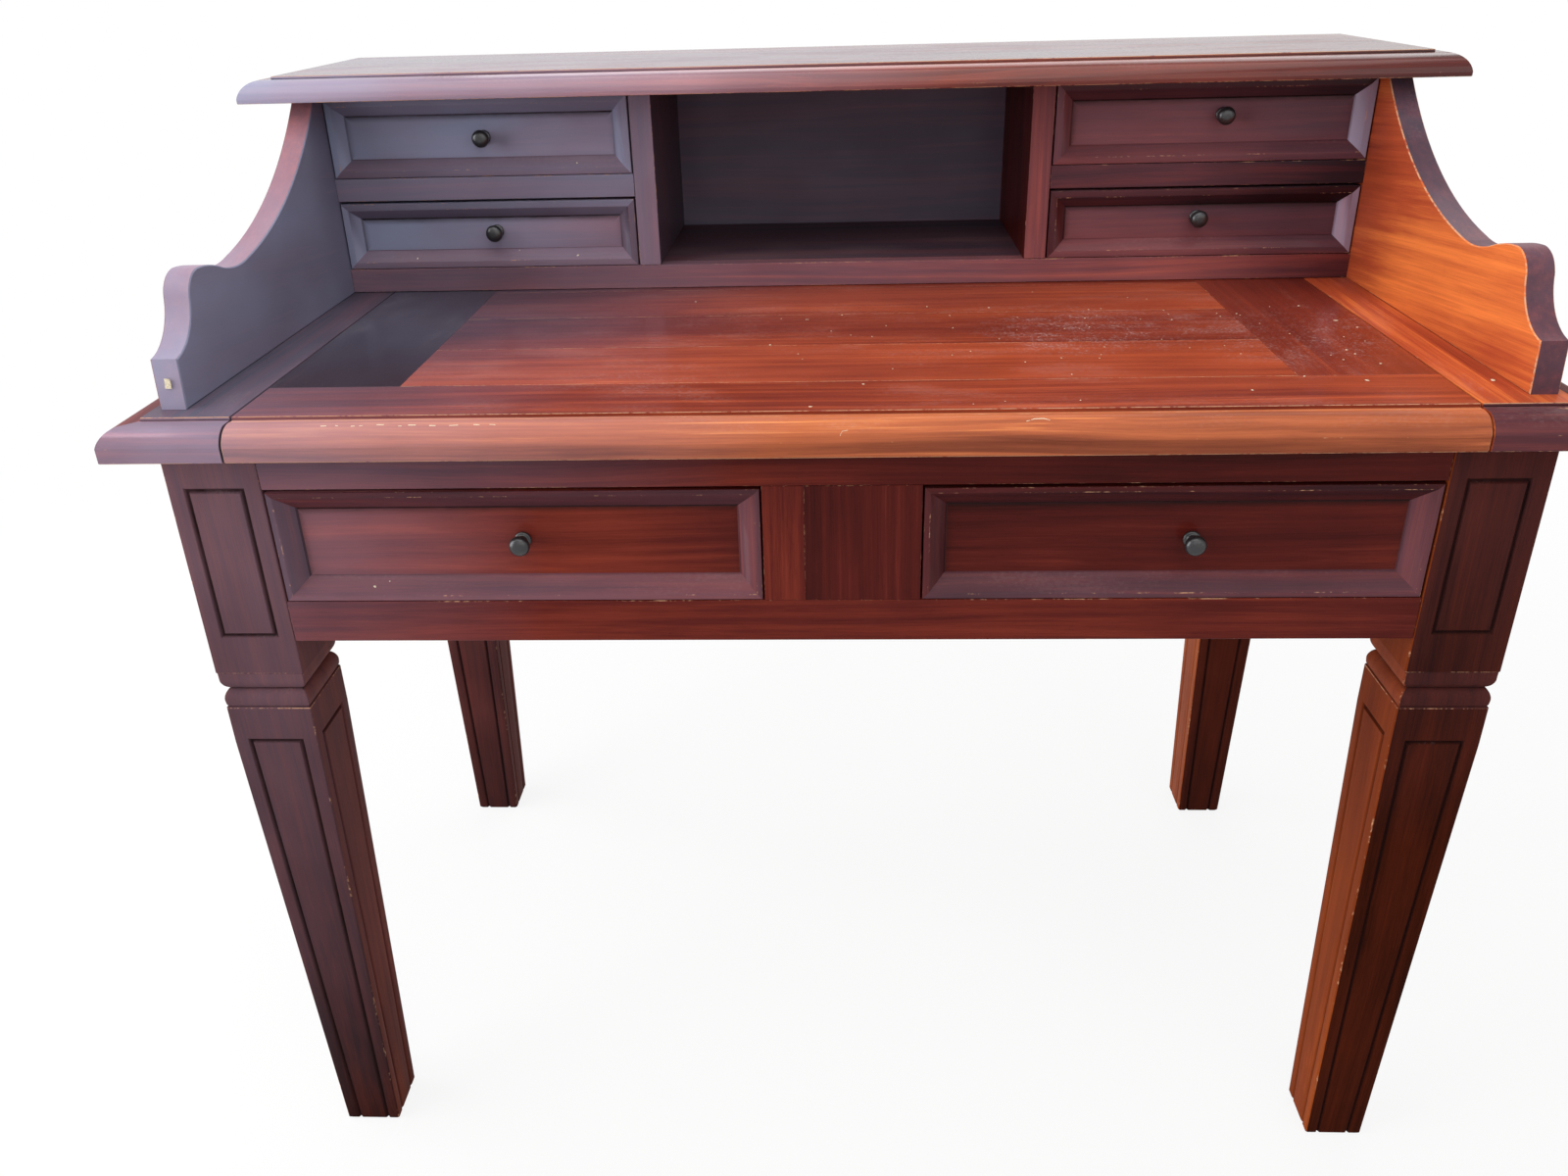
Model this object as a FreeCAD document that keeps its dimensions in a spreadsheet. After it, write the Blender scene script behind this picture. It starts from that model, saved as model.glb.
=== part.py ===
import FreeCAD, Part

import math
import os

import Sketcher
from FreeCAD import Placement, Rotation, Vector

# A ladies' writing desk: four square tapered legs carry a frieze with two drawers. Above it a
# writing slide pulls out between two fixed side boards. Shaped gallery sides stand on these
# boards and hold a low cabinet: four small drawers round an open pigeonhole, under a shelf.
#
# Millimetres. X runs to the right of a person at the desk, Y from the front to the back and Z
# upwards. The origin is on the floor under the middle of the desk.

# Driving dimensions: alias, value, what it measures.
SIZES = [
    # the whole desk
    ("desk_width", 1066.0, "over the outer faces of the legs"),
    ("desk_depth", 616.0, "from the front faces of the front legs to the back"),
    ("top_height", 780.0, "writing surface above the floor"),
    ("top_thickness", 28.0, "moulded edge of the top"),
    ("top_overhang", 30.0, "top beyond the legs at the front and the sides"),
    # legs
    ("leg_width", 76.0, "square block and upper shaft of a leg, over the flats"),
    ("shaft_inset", 1.0, "shaft narrower than the block, each side"),
    ("foot_width", 54.0, "square foot of a leg"),
    ("block_drop", 31.5, "leg block below the frieze"),
    ("collar_height", 34.5, "moulded collar between block and shaft"),
    ("collar_waist_inset", 4.0, "depth of the collar's hollow"),
    ("collar_fillet", 4.5, "flat above the collar's hollow"),
    ("collar_bead", 15.0, "height of the collar's round bead"),
    ("shaft_straight", 36.0, "upper shaft before the taper begins"),
    # frieze
    ("top_rail_height", 34.0, "rail above the large drawers, below the top"),
    ("drawer_opening", 99.0, "height of the large drawers' openings"),
    ("bottom_rail_height", 37.0, "rail below the large drawers"),
    ("rail_thickness", 22.0, "front rails, centre board and large drawer fronts"),
    ("centre_board_width", 92.0, "dark centre board between the large drawers"),
    ("centre_strip_width", 33.0, "lighter strip glued to the centre board"),
    ("apron_thickness", 20.0, "side and back aprons"),
    ("apron_inset", 3.0, "aprons behind the outer faces of the legs"),
    ("partition_thickness", 22.0, "upright boards between drawer bays"),
    ("runner_height", 22.0, "strips that carry or steady the drawers"),
    ("runner_overlap", 18.0, "runner under a large drawer"),
    ("kicker_width", 40.0, "strip above the middle of a large drawer"),
    # writing slide
    ("slide_over_leg", 8.5, "writing slide beyond the inner faces of the legs, each side"),
    ("slide_gap", 1.5, "play beside the writing slide"),
    ("slide_thickness", 22.0, "boards of the writing slide"),
    ("slide_front_board", 72.0, "front board of the slide behind the moulded rail"),
    ("slide_clamp_width", 108.0, "boards across the ends of the slide"),
    ("slide_back_gap", 1.0, "play behind the slide"),
    ("slide_travel", 150.0, "how far the slide pulls out"),
    ("slide_stop_width", 60.0, "block under the slide that stops it"),
    ("slide_stop_depth", 20.0, "the stop block from front to back"),
    ("slide_stop_pair_width", 270.0, "between the centres of the stop blocks"),
    ("back_board_depth", 25.0, "fixed strip of the top behind the slide"),
    # moulded edges
    ("moulding_width", 26.0, "from the riser of a moulding to its tip"),
    ("riser_height", 2.5, "step at the inner side of a moulding"),
    ("moulding_fillet", 4.0, "flat between riser and round"),
    ("tip_height", 12.0, "straight lower edge of the top's moulding"),
    ("shelf_tip_height", 4.0, "straight lower edge of the shelf's moulding"),
    # gallery sides
    ("gallery_thickness", 21.5, "gallery boards"),
    ("gallery_inset", 3.0, "gallery behind the outer face of the leg"),
    ("gallery_setback", 15.0, "gallery foot behind the front of the legs"),
    ("gallery_point_setback", 18.0, "pointed corner behind the front of the legs"),
    ("gallery_point_height", 39.5, "pointed corner above the top"),
    ("gallery_neck_setback", 58.0, "foot of the gallery's nose behind the legs"),
    ("gallery_neck_height", 75.0, "foot of the gallery's nose above the top"),
    ("gallery_nose_setback", 84.0, "crest of the nose behind the legs"),
    ("gallery_nose_height", 95.0, "crest of the nose above the top"),
    ("gallery_slope_setback", 124.0, "fall from the nose to the dip behind the legs"),
    ("gallery_slope_height", 86.0, "fall from the nose to the dip above the top"),
    ("gallery_dip_setback", 172.0, "end of the dip behind the legs"),
    ("gallery_dip_height", 84.5, "end of the dip above the top"),
    ("gallery_head_setback", 17.0, "head of the gallery in front of the cabinet"),
    ("gallery_sweep_radius", 375.0, "long sweep from the dip up to the shelf"),
    ("gallery_dip_radius", 95.0, "round of the dip"),
    ("gallery_crest_radius", 120.0, "fall from the nose to the dip"),
    ("gallery_nose_radius", 24.0, "round of the nose"),
    ("gallery_hollow_radius", 48.0, "hollow between the point and the nose"),
    # cabinet
    ("cabinet_depth", 224.0, "cabinet from its front to the back of the desk"),
    ("cabinet_rail_height", 24.0, "rail below the small drawers"),
    ("cabinet_rail_thickness", 18.0, "front rails of the cabinet and small drawer fronts"),
    ("cabinet_floor_thickness", 18.0, "floor of the cabinet"),
    ("lower_opening", 68.0, "height of the lower small drawers' openings"),
    ("divider_height", 22.0, "rail between the small drawers"),
    ("upper_opening", 77.0, "height of the upper small drawers' openings"),
    ("pigeonhole_width", 368.0, "open pigeonhole between the partitions"),
    ("cabinet_back_thickness", 10.0, "back panel of the cabinet"),
    ("small_runner_width", 20.0, "strips that carry the upper small drawers"),
    ("shelf_thickness", 22.0, "moulded shelf"),
    ("shelf_side_overhang", 40.0, "shelf beyond the gallery sides"),
    ("shelf_front_overhang", 48.0, "shelf in front of the cabinet"),
    # drawers
    ("front_gap", 1.5, "play beside a drawer front"),
    ("head_gap", 2.5, "play above a drawer front"),
    ("running_gap", 0.5, "play between a moving piece and what carries it"),
    ("rim_width", 4.5, "flat border of a drawer front"),
    ("bevel_width", 13.5, "sloping border of a drawer front, face on"),
    ("bevel_depth", 12.0, "sunk panel behind the border"),
    ("small_rim_width", 6.5, "flat border of a small drawer front"),
    ("small_bevel_width", 10.0, "sloping border of a small drawer front, face on"),
    ("small_bevel_depth", 9.0, "sunk panel of a small drawer front"),
    ("drawer_depth", 500.0, "large drawer from front to back"),
    ("drawer_side", 12.0, "sides and back of a large drawer"),
    ("drawer_side_drop", 10.0, "sides of a large drawer lower than its front"),
    ("drawer_bottom", 6.0, "bottom of a large drawer"),
    ("small_drawer_depth", 190.0, "small drawer from front to back"),
    ("small_drawer_side", 9.0, "sides and back of a small drawer"),
    ("small_drawer_side_drop", 8.0, "sides of a small drawer lower than its front"),
    ("small_drawer_bottom", 4.0, "bottom of a small drawer"),
    ("bottom_rise", 6.0, "drawer bottom above the lower edges of the sides"),
    # knobs
    ("knob_width", 17.0, "head of a knob"),
    ("knob_length", 19.0, "knob in front of the panel it stands on"),
    ("knob_head", 10.0, "head of a knob from back to front"),
    ("knob_neck_width", 8.0, "neck of a knob"),
    ("knob_rose_width", 14.0, "round foot of a knob"),
    ("knob_rose_height", 2.5, "foot of a knob from back to front"),
    ("knob_shift_large_left", 3.0, "large left knob to the right of its drawer's middle"),
    ("knob_shift_large_right", 15.0, "the same for the large right knob"),
    ("knob_shift_lower_left", 5.5, "the same for the lower left knob"),
    ("knob_shift_lower_right", -3.5, "the same for the lower right knob"),
    ("knob_shift_upper_left", 3.5, "the same for the upper left knob"),
    ("knob_shift_upper_right", 10.5, "the same for the upper right knob"),
    ("knob_rise_large_left", 1.5, "large left knob above its drawer's middle"),
    ("knob_rise_large_right", -1.5, "the same for the large right knob"),
    ("knob_rise_lower_left", 2.0, "the same for the lower left knob"),
    ("knob_rise_lower_right", 4.0, "the same for the lower right knob"),
    ("knob_rise_upper_left", -1.0, "the same for the upper left knob"),
    ("knob_rise_upper_right", 5.5, "the same for the upper right knob"),
]

SHEET_NAME = "Sizes"
LEAST_VOLUME = 1.0
LEFT = -1
RIGHT = 1

# Radii of the turned and moulded curves, as shares of what they span.
MOULDING_SHARE = 0.52
COLLAR_HOLLOW_SHARE = 0.8
COLLAR_BEAD_SHARE = 1.05
KNOB_CROWN_SHARE = 1.05
KNOB_SHOULDER_SHARE = 0.8

# The widest place of a knob's head, as a share of the head, from its back.
KNOB_WIDEST_SHARE = 0.45


class Length:
    """A length that knows both its value and the spreadsheet expression it comes from."""

    def __init__(self, text, value):
        self.text = text
        self.value = value

    @staticmethod
    def of(other):
        """Take a plain number as a length."""
        if isinstance(other, Length):
            return other
        return Length(repr(float(other)), float(other))

    def __add__(self, other):
        other = Length.of(other)
        return Length(f"({self.text} + {other.text})", self.value + other.value)

    def __sub__(self, other):
        other = Length.of(other)
        return Length(f"({self.text} - {other.text})", self.value - other.value)

    def __mul__(self, factor):
        return Length(f"({self.text} * {factor})", self.value * factor)

    def __truediv__(self, divisor):
        return Length(f"({self.text} / {divisor})", self.value / divisor)

    def __neg__(self):
        return Length(f"(0 mm - {self.text})", -self.value)

    __rmul__ = __mul__


def make_sheet(document):
    """Write the driving dimensions into a spreadsheet and return them by name."""
    sheet = document.addObject("Spreadsheet::Sheet", SHEET_NAME)
    lengths = {}
    for row, (alias, value, meaning) in enumerate(SIZES, start=1):
        sheet.set(f"A{row}", meaning)
        sheet.set(f"B{row}", str(value))
        sheet.setAlias(f"B{row}", alias)
        lengths[alias] = Length(f"{SHEET_NAME}.{alias} * 1 mm", value)
    document.recompute()
    return lengths


doc = FreeCAD.newDocument("writing_desk")
size = make_sheet(doc)

ZERO = Length("0 mm", 0.0)

# Places that several pieces share, from the front of the legs backwards.
front_y = (size["top_overhang"] - size["desk_depth"]) / 2
back_y = front_y + size["desk_depth"]
rail_back_y = front_y + size["rail_thickness"]
leg_back_y = front_y + size["leg_width"]
rear_leg_y = back_y - size["leg_width"]
back_apron_y = back_y - size["apron_inset"] - size["apron_thickness"]
cabinet_y = back_y - size["cabinet_depth"]
cabinet_rail_back_y = cabinet_y + size["cabinet_rail_thickness"]
cabinet_back_y = back_y - size["cabinet_back_thickness"]

# From the floor upwards.
top_z = size["top_height"]
top_under_z = top_z - size["top_thickness"]
slide_under_z = top_z - size["slide_thickness"]
rail_top_z = slide_under_z - size["running_gap"]
drawer_top_z = top_under_z - size["top_rail_height"]
drawer_floor_z = drawer_top_z - size["drawer_opening"]
frieze_under_z = drawer_floor_z - size["bottom_rail_height"]
block_under_z = frieze_under_z - size["block_drop"]
kicker_top_z = drawer_top_z + size["runner_height"]
cabinet_rail_z = top_z + size["running_gap"]
lower_floor_z = top_z + size["cabinet_rail_height"]
lower_top_z = lower_floor_z + size["lower_opening"]
upper_floor_z = lower_top_z + size["divider_height"]
shelf_under_z = upper_floor_z + size["upper_opening"]
shelf_top_z = shelf_under_z + size["shelf_thickness"]

# From the middle outwards.
leg_outer_x = size["desk_width"] / 2
leg_inner_x = leg_outer_x - size["leg_width"]
apron_outer_x = leg_outer_x - size["apron_inset"]
apron_inner_x = apron_outer_x - size["apron_thickness"]
partition_x = size["partition_thickness"] / 2
centre_half = (size["centre_board_width"] + size["centre_strip_width"]) / 2
slide_half = leg_inner_x + size["slide_over_leg"]
side_board_x = slide_half + size["slide_gap"]
top_tip_x = leg_outer_x + size["top_overhang"]
gallery_outer_x = leg_outer_x - size["gallery_inset"]
gallery_inner_x = gallery_outer_x - size["gallery_thickness"]
pigeonhole_half = size["pigeonhole_width"] / 2
small_bay_x = pigeonhole_half + size["partition_thickness"]

subparts = []


def keep(thing):
    """Count an object as a finished sub-part; its label names its file."""
    subparts.append(thing)
    return thing


def span(side, inner, outer):
    """The pair of X places, low first, of a stretch on the left or the right of the middle."""
    if side == RIGHT:
        return (inner, outer)
    return (-outer, -inner)


def bind(thing, prop, length):
    """Tie one property of an object to the spreadsheet."""
    thing.setExpression(prop, length.text)


def place(thing, x, y, z):
    """Tie an object's position to the spreadsheet."""
    bind(thing, "Placement.Base.x", x)
    bind(thing, "Placement.Base.y", y)
    bind(thing, "Placement.Base.z", z)


def board(name, x, y, z):
    """A rectangular board between two places along each axis."""
    box = doc.addObject("Part::Box", name)
    box.Label = name
    bind(box, "Length", x[1] - x[0])
    bind(box, "Width", y[1] - y[0])
    bind(box, "Height", z[1] - z[0])
    place(box, x[0], y[0], z[0])
    return box


def group(name, pieces):
    """Separate solids that share one node."""
    whole = doc.addObject("Part::Compound", name)
    whole.Label = name
    whole.Links = pieces
    return whole


def cut(name, base, tool):
    """Take one object away from another."""
    rest = doc.addObject("Part::Cut", name)
    rest.Label = name
    rest.Base = base
    rest.Tool = tool
    return rest


def common(name, pieces):
    """What several objects have in common."""
    shared = doc.addObject("Part::MultiCommon", name)
    shared.Label = name
    shared.Shapes = pieces
    return shared


class Outline:
    """A closed outline of lines and arcs, with every corner tied to the spreadsheet."""

    def __init__(self, start):
        self.corners = [start]
        self.edges = []

    def line(self, corner):
        self.edges.append(None)
        self.corners.append(corner)
        return self

    def arc(self, corner, radius, turn):
        """Go on along an arc to the next corner; turn is 1 to the left and -1 to the right."""
        self.edges.append((radius, turn))
        self.corners.append(corner)
        return self

    @staticmethod
    def arc_curve(start, end, radius, turn):
        """The arc of the given radius between two points that bends to the given side."""
        chord = end - start
        from_centre = math.sqrt(radius.value**2 - (chord.Length / 2) ** 2)
        left = Vector(-chord.y, chord.x, 0).normalize()
        middle = (start + end) / 2 - left * ((radius.value - from_centre) * turn)
        return Part.Arc(start, middle, end)

    def draw(self, sketch):
        """Draw the outline into a sketch and close it."""
        points = [Vector(u.value, v.value, 0) for u, v in self.corners]
        points.append(points[0])
        edges = self.edges + [None]
        for index, edge in enumerate(edges):
            start, end = points[index], points[index + 1]
            if edge is None:
                sketch.addGeometry(Part.LineSegment(start, end), False)
            else:
                sketch.addGeometry(self.arc_curve(start, end, *edge), False)
        count = len(edges)
        # An arc in a sketch always runs anticlockwise, so a right turn has its ends swapped.
        first = [2 if edge is not None and edge[1] < 0 else 1 for edge in edges]
        last = [3 - place_of_first for place_of_first in first]
        for index in range(count):
            following = (index + 1) % count
            sketch.addConstraint(
                Sketcher.Constraint("Coincident", index, last[index], following, first[following])
            )
        for index, (u, v) in enumerate(self.corners):
            self.pin(sketch, "DistanceX", index, first[index], u)
            self.pin(sketch, "DistanceY", index, first[index], v)
        for index, edge in enumerate(edges):
            if edge is not None:
                number = sketch.addConstraint(
                    Sketcher.Constraint("Radius", index, edge[0].value)
                )
                sketch.setExpression(f"Constraints[{number}]", edge[0].text)
        return sketch

    @staticmethod
    def pin(sketch, kind, geometry, end, length):
        """Hold one end of an edge at its distance from the sketch's origin."""
        number = sketch.addConstraint(
            Sketcher.Constraint(kind, -1, 1, geometry, end, length.value)
        )
        sketch.setExpression(f"Constraints[{number}]", length.text)


# A sketch's X and Y as they lie in the desk: seen from the front, or from the right side.
FRONT_VIEW = Rotation(Vector(1, 0, 0), 90)
SIDE_VIEW = Rotation(Vector(1, 1, 1), 120)


def extrusion(name, outline, view, start, length):
    """An outline seen from the front or the side, extruded along the line of sight.

    start is the low end of the extrusion on the Y axis for the front view and on the X axis for
    the side view.
    """
    sketch = doc.addObject("Sketcher::SketchObject", name + "_outline")
    sketch.Placement = Placement(Vector(), view)
    outline.draw(sketch)
    solid = doc.addObject("Part::Extrusion", name)
    solid.Label = name
    solid.Base = sketch
    solid.DirMode = "Custom"
    solid.Solid = True
    if view is FRONT_VIEW:
        solid.Dir = Vector(0, 1, 0)
        bind(sketch, "Placement.Base.y", start)
    else:
        solid.Dir = Vector(1, 0, 0)
        bind(sketch, "Placement.Base.x", start)
    bind(solid, "LengthFwd", length)
    return solid


def slab(name, outline, low, height):
    """An outline seen from above, extruded upwards from its low side."""
    sketch = doc.addObject("Sketcher::SketchObject", name + "_outline")
    outline.draw(sketch)
    bind(sketch, "Placement.Base.z", low)
    solid = doc.addObject("Part::Extrusion", name)
    solid.Label = name
    solid.Base = sketch
    solid.DirMode = "Custom"
    solid.Dir = Vector(0, 0, 1)
    solid.Solid = True
    bind(solid, "LengthFwd", height)
    return solid


# ---------------------------------------------------------------- moulded edges


def moulded_edge(outline, tip, inward, top, under, tip_height):
    """Draw a moulded edge from the foot of its riser out to its tip and down to the underside.

    tip is the outermost place and inward the direction from it to the flat top: 1 or -1.
    """
    riser = tip + size["moulding_width"] * inward
    low = top - size["riser_height"]
    tip_top = under + tip_height
    outline.line((riser, low))
    outline.line((riser - size["moulding_fillet"] * inward, low))
    # Seen from the flat top outwards, an edge that runs to the left bends to the left.
    outline.arc((tip, tip_top), moulding_radius(tip_top, low), inward)
    outline.line((tip, under))
    return outline


def moulding_radius(tip_top, low):
    """A radius that spans from the fillet to the tip, however deep the moulding is."""
    across = size["moulding_width"] - size["moulding_fillet"]
    down = low - tip_top
    return (across + down) * MOULDING_SHARE


# ---------------------------------------------------------------- legs


def leg_outline():
    """A leg's outline, the same from the front and from the side, about its own middle."""
    block = size["leg_width"] / 2
    shaft = block - size["shaft_inset"]
    foot = size["foot_width"] / 2
    waist = block - size["collar_waist_inset"]
    hollow_top_z = block_under_z - size["collar_fillet"]
    collar_under_z = block_under_z - size["collar_height"]
    bead_top_z = collar_under_z + size["collar_bead"]
    taper_z = collar_under_z - size["shaft_straight"]
    hollow_radius = (hollow_top_z - bead_top_z) * COLLAR_HOLLOW_SHARE
    bead_radius = size["collar_bead"] * COLLAR_BEAD_SHARE
    right = [
        (foot, ZERO, None),
        (shaft, taper_z, None),
        (shaft, collar_under_z, None),
        (waist, bead_top_z, (bead_radius, 1)),
        (shaft, hollow_top_z, (hollow_radius, -1)),
        (block, hollow_top_z, None),
        (block, top_under_z, None),
    ]
    outline = Outline((foot, ZERO))
    for x, z, edge in right[1:]:
        if edge is None:
            outline.line((x, z))
        else:
            outline.arc((x, z), *edge)
    outline.line((-block, top_under_z))
    for index in range(len(right) - 2, -1, -1):
        x, z, _ = right[index]
        edge = right[index + 1][2]
        if edge is None:
            outline.line((-x, z))
        else:
            outline.arc((-x, z), *edge)
    return outline


def leg(name, x, y):
    """One leg: what the outlines seen from the front and from the side have in common."""
    reach = size["leg_width"]
    from_front = extrusion(name + "_front_view", leg_outline(), FRONT_VIEW, -reach, reach * 2)
    from_side = extrusion(name + "_side_view", leg_outline(), SIDE_VIEW, -reach, reach * 2)
    piece = common(name, [from_front, from_side])
    place(piece, x, y, ZERO)
    return keep(piece)


def legs():
    """The four legs, each in the middle of its own square of ground."""
    half = size["leg_width"] / 2
    for side, side_name in ((LEFT, "left"), (RIGHT, "right")):
        x = (leg_outer_x - half) * side
        leg("leg_front_" + side_name, x, front_y + half)
        leg("leg_rear_" + side_name, x, back_y - half)


# ---------------------------------------------------------------- frieze


def frieze():
    """Front rails, centre board, aprons, and what guides the large drawers."""
    face = (front_y, rail_back_y)
    between_legs = (-leg_inner_x, leg_inner_x)
    keep(board("frieze_top_rail", between_legs, face, (drawer_top_z, rail_top_z)))
    keep(board("frieze_bottom_rail", between_legs, face, (frieze_under_z, drawer_floor_z)))
    joint_x = size["centre_strip_width"] - centre_half
    opening = (drawer_floor_z, drawer_top_z)
    keep(board("frieze_centre_strip", (-centre_half, joint_x), face, opening))
    keep(board("frieze_centre_board", (joint_x, centre_half), face, opening))
    apron_z = (frieze_under_z, top_under_z)
    for side, side_name in ((LEFT, "left"), (RIGHT, "right")):
        x = span(side, apron_inner_x, apron_outer_x)
        keep(board("side_apron_" + side_name, x, (leg_back_y, rear_leg_y), apron_z))
    back = (back_apron_y, back_apron_y + size["apron_thickness"])
    keep(board("back_apron", between_legs, back, apron_z))
    inside = (rail_back_y, back_apron_y)
    middle = (-partition_x, partition_x)
    keep(board("bay_partition", middle, inside, (frieze_under_z, kicker_top_z)))
    drawer_strips(inside)


def drawer_strips(inside):
    """Strips that carry the large drawers, guide their sides and stop them tipping."""
    between_the_legs = (leg_back_y, rear_leg_y)
    runner_z = (drawer_floor_z - size["runner_height"], drawer_floor_z)
    guide_z = (drawer_floor_z, drawer_floor_z + size["runner_height"])
    kicker_z = (drawer_top_z, kicker_top_z)
    runners, guides, kickers = [], [], []
    for side, side_name in ((LEFT, "left"), (RIGHT, "right")):
        outer = span(side, leg_inner_x, apron_inner_x)
        inner = span(side, partition_x, centre_half)
        under_outer = span(side, leg_inner_x - size["runner_overlap"], leg_inner_x)
        under_inner = span(side, partition_x, centre_half + size["runner_overlap"])
        runners.append(board("runner_outer_" + side_name, under_outer, inside, runner_z))
        runners.append(board("runner_ledge_" + side_name, outer, between_the_legs, runner_z))
        runners.append(board("runner_inner_" + side_name, under_inner, inside, runner_z))
        guides.append(board("guide_outer_" + side_name, outer, between_the_legs, guide_z))
        guides.append(board("guide_inner_" + side_name, inner, inside, guide_z))
        middle = (centre_half + leg_inner_x) / 2
        half = size["kicker_width"] / 2
        over_drawer = span(side, middle - half, middle + half)
        kickers.append(board("kicker_" + side_name, over_drawer, inside, kicker_z))
    keep(group("drawer_runners", runners))
    keep(group("drawer_guides", guides))
    keep(group("drawer_kickers", kickers))


# ---------------------------------------------------------------- fixed top


def side_board_outline(side):
    """A side board of the top seen from the front, with its moulded outer edge."""
    inner = side_board_x * side
    tip = top_tip_x * side
    riser = tip - size["moulding_width"] * side
    outline = Outline((inner, top_under_z)).line((inner, top_z)).line((riser, top_z))
    return moulded_edge(outline, tip, -side, top_z, top_under_z, size["tip_height"])


def front_moulding_outline():
    """The front moulding of the top seen from the right, as far back as the riser."""
    tip = front_y - size["top_overhang"]
    riser = tip + size["moulding_width"]
    outline = Outline((riser, top_under_z))
    return moulded_edge(outline, tip, 1, top_z, top_under_z, size["tip_height"])


def mitre_outline(side):
    """The ground under a front corner that belongs to the front piece: up to the mitre."""
    tip_x = top_tip_x * side
    riser_x = (top_tip_x - size["moulding_width"]) * side
    inner_x = side_board_x * side
    tip_y = front_y - size["top_overhang"]
    riser_y = tip_y + size["moulding_width"]
    outline = Outline((inner_x, tip_y))
    outline.line((tip_x, tip_y))
    outline.line((riser_x, riser_y))
    outline.line((inner_x, riser_y))
    return outline


def fixed_top():
    """Side boards with mitred front corners, and the strip behind the writing slide."""
    tip_y = front_y - size["top_overhang"]
    depth = back_y - tip_y
    for side, side_name in ((LEFT, "left"), (RIGHT, "right")):
        name = "top_side_" + side_name
        length = extrusion(name + "_board", side_board_outline(side), FRONT_VIEW, tip_y, depth)
        corner = slab(name + "_corner", mitre_outline(side), top_under_z, size["top_thickness"])
        keep(cut(name, length, corner))
        name = "top_corner_" + side_name
        start = side_board_x if side == RIGHT else -top_tip_x
        width = top_tip_x - side_board_x
        length = extrusion(name + "_strip", front_moulding_outline(), SIDE_VIEW, start, width)
        corner = slab(name + "_mitre", mitre_outline(side), top_under_z, size["top_thickness"])
        keep(common(name, [length, corner]))
    back_strip_y = (back_y - size["back_board_depth"], back_y)
    keep(board("top_back_board", (-side_board_x, side_board_x), back_strip_y, (top_under_z, top_z)))


# ---------------------------------------------------------------- writing slide


def writing_slide():
    """The pull-out writing surface: moulded rail, front board, clamped ends, glued boards."""
    whole = (-slide_half, slide_half)
    board_y = front_y - size["top_overhang"] + size["moulding_width"]
    front_board_back_y = board_y + size["slide_front_board"]
    rear_y = back_y - size["back_board_depth"] - size["slide_back_gap"]
    thick = (slide_under_z, top_z)

    moulding = front_moulding_outline()
    keep(extrusion("slide_front_rail", moulding, SIDE_VIEW, -slide_half, slide_half * 2))

    keep(board("slide_front_board", whole, (board_y, front_board_back_y), thick))
    inner = slide_half - size["slide_clamp_width"]
    behind = (front_board_back_y, rear_y)
    keep(board("slide_clamp_left", span(LEFT, inner, slide_half), behind, thick))
    keep(board("slide_clamp_right", span(RIGHT, inner, slide_half), behind, thick))
    keep(group("slide_boards", glued_boards((-inner, inner), behind, thick)))

    stop_y = rail_back_y + size["slide_travel"] + size["running_gap"]
    stop_z = (kicker_top_z + size["running_gap"] * 2, slide_under_z)
    stops = []
    for side, side_name in ((LEFT, "left"), (RIGHT, "right")):
        middle = size["slide_stop_pair_width"] / 2
        half = size["slide_stop_width"] / 2
        across = span(side, middle - half, middle + half)
        along = (stop_y, stop_y + size["slide_stop_depth"])
        stops.append(board("slide_stop_" + side_name, across, along, stop_z))
    keep(group("slide_stops", stops))

    bearers = []
    for side, side_name in ((LEFT, "left"), (RIGHT, "right")):
        across = span(side, leg_inner_x - size["runner_overlap"], side_board_x)
        along = (leg_back_y, rear_leg_y)
        level = (kicker_top_z, rail_top_z)
        bearers.append(board("slide_bearer_" + side_name, across, along, level))
    keep(group("slide_bearers", bearers))


def glued_boards(across, along, thick):
    """Equal boards side by side, glued along their edges."""
    count = 5
    step = (along[1] - along[0]) / count
    boards = []
    for index in range(count):
        low = along[0] + step * index
        boards.append(board(f"slide_board_{index + 1}", across, (low, low + step), thick))
    return boards


# ---------------------------------------------------------------- gallery and cabinet


def gallery_outline():
    """A gallery side seen from the right: foot, point, nose, dip and long sweep to the shelf."""
    head_y = cabinet_y - size["gallery_head_setback"]
    outline = Outline((front_y + size["gallery_setback"], top_z))
    outline.line((back_y, top_z))
    outline.line((back_y, shelf_under_z))
    outline.line((head_y, shelf_under_z))
    for corner, radius, turn in (
        ("dip", "sweep", -1),
        ("slope", "dip", -1),
        ("nose", "crest", 1),
        ("neck", "nose", 1),
        ("point", "hollow", -1),
    ):
        y = front_y + size[f"gallery_{corner}_setback"]
        z = top_z + size[f"gallery_{corner}_height"]
        outline.arc((y, z), size[f"gallery_{radius}_radius"], turn)
    return outline


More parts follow.
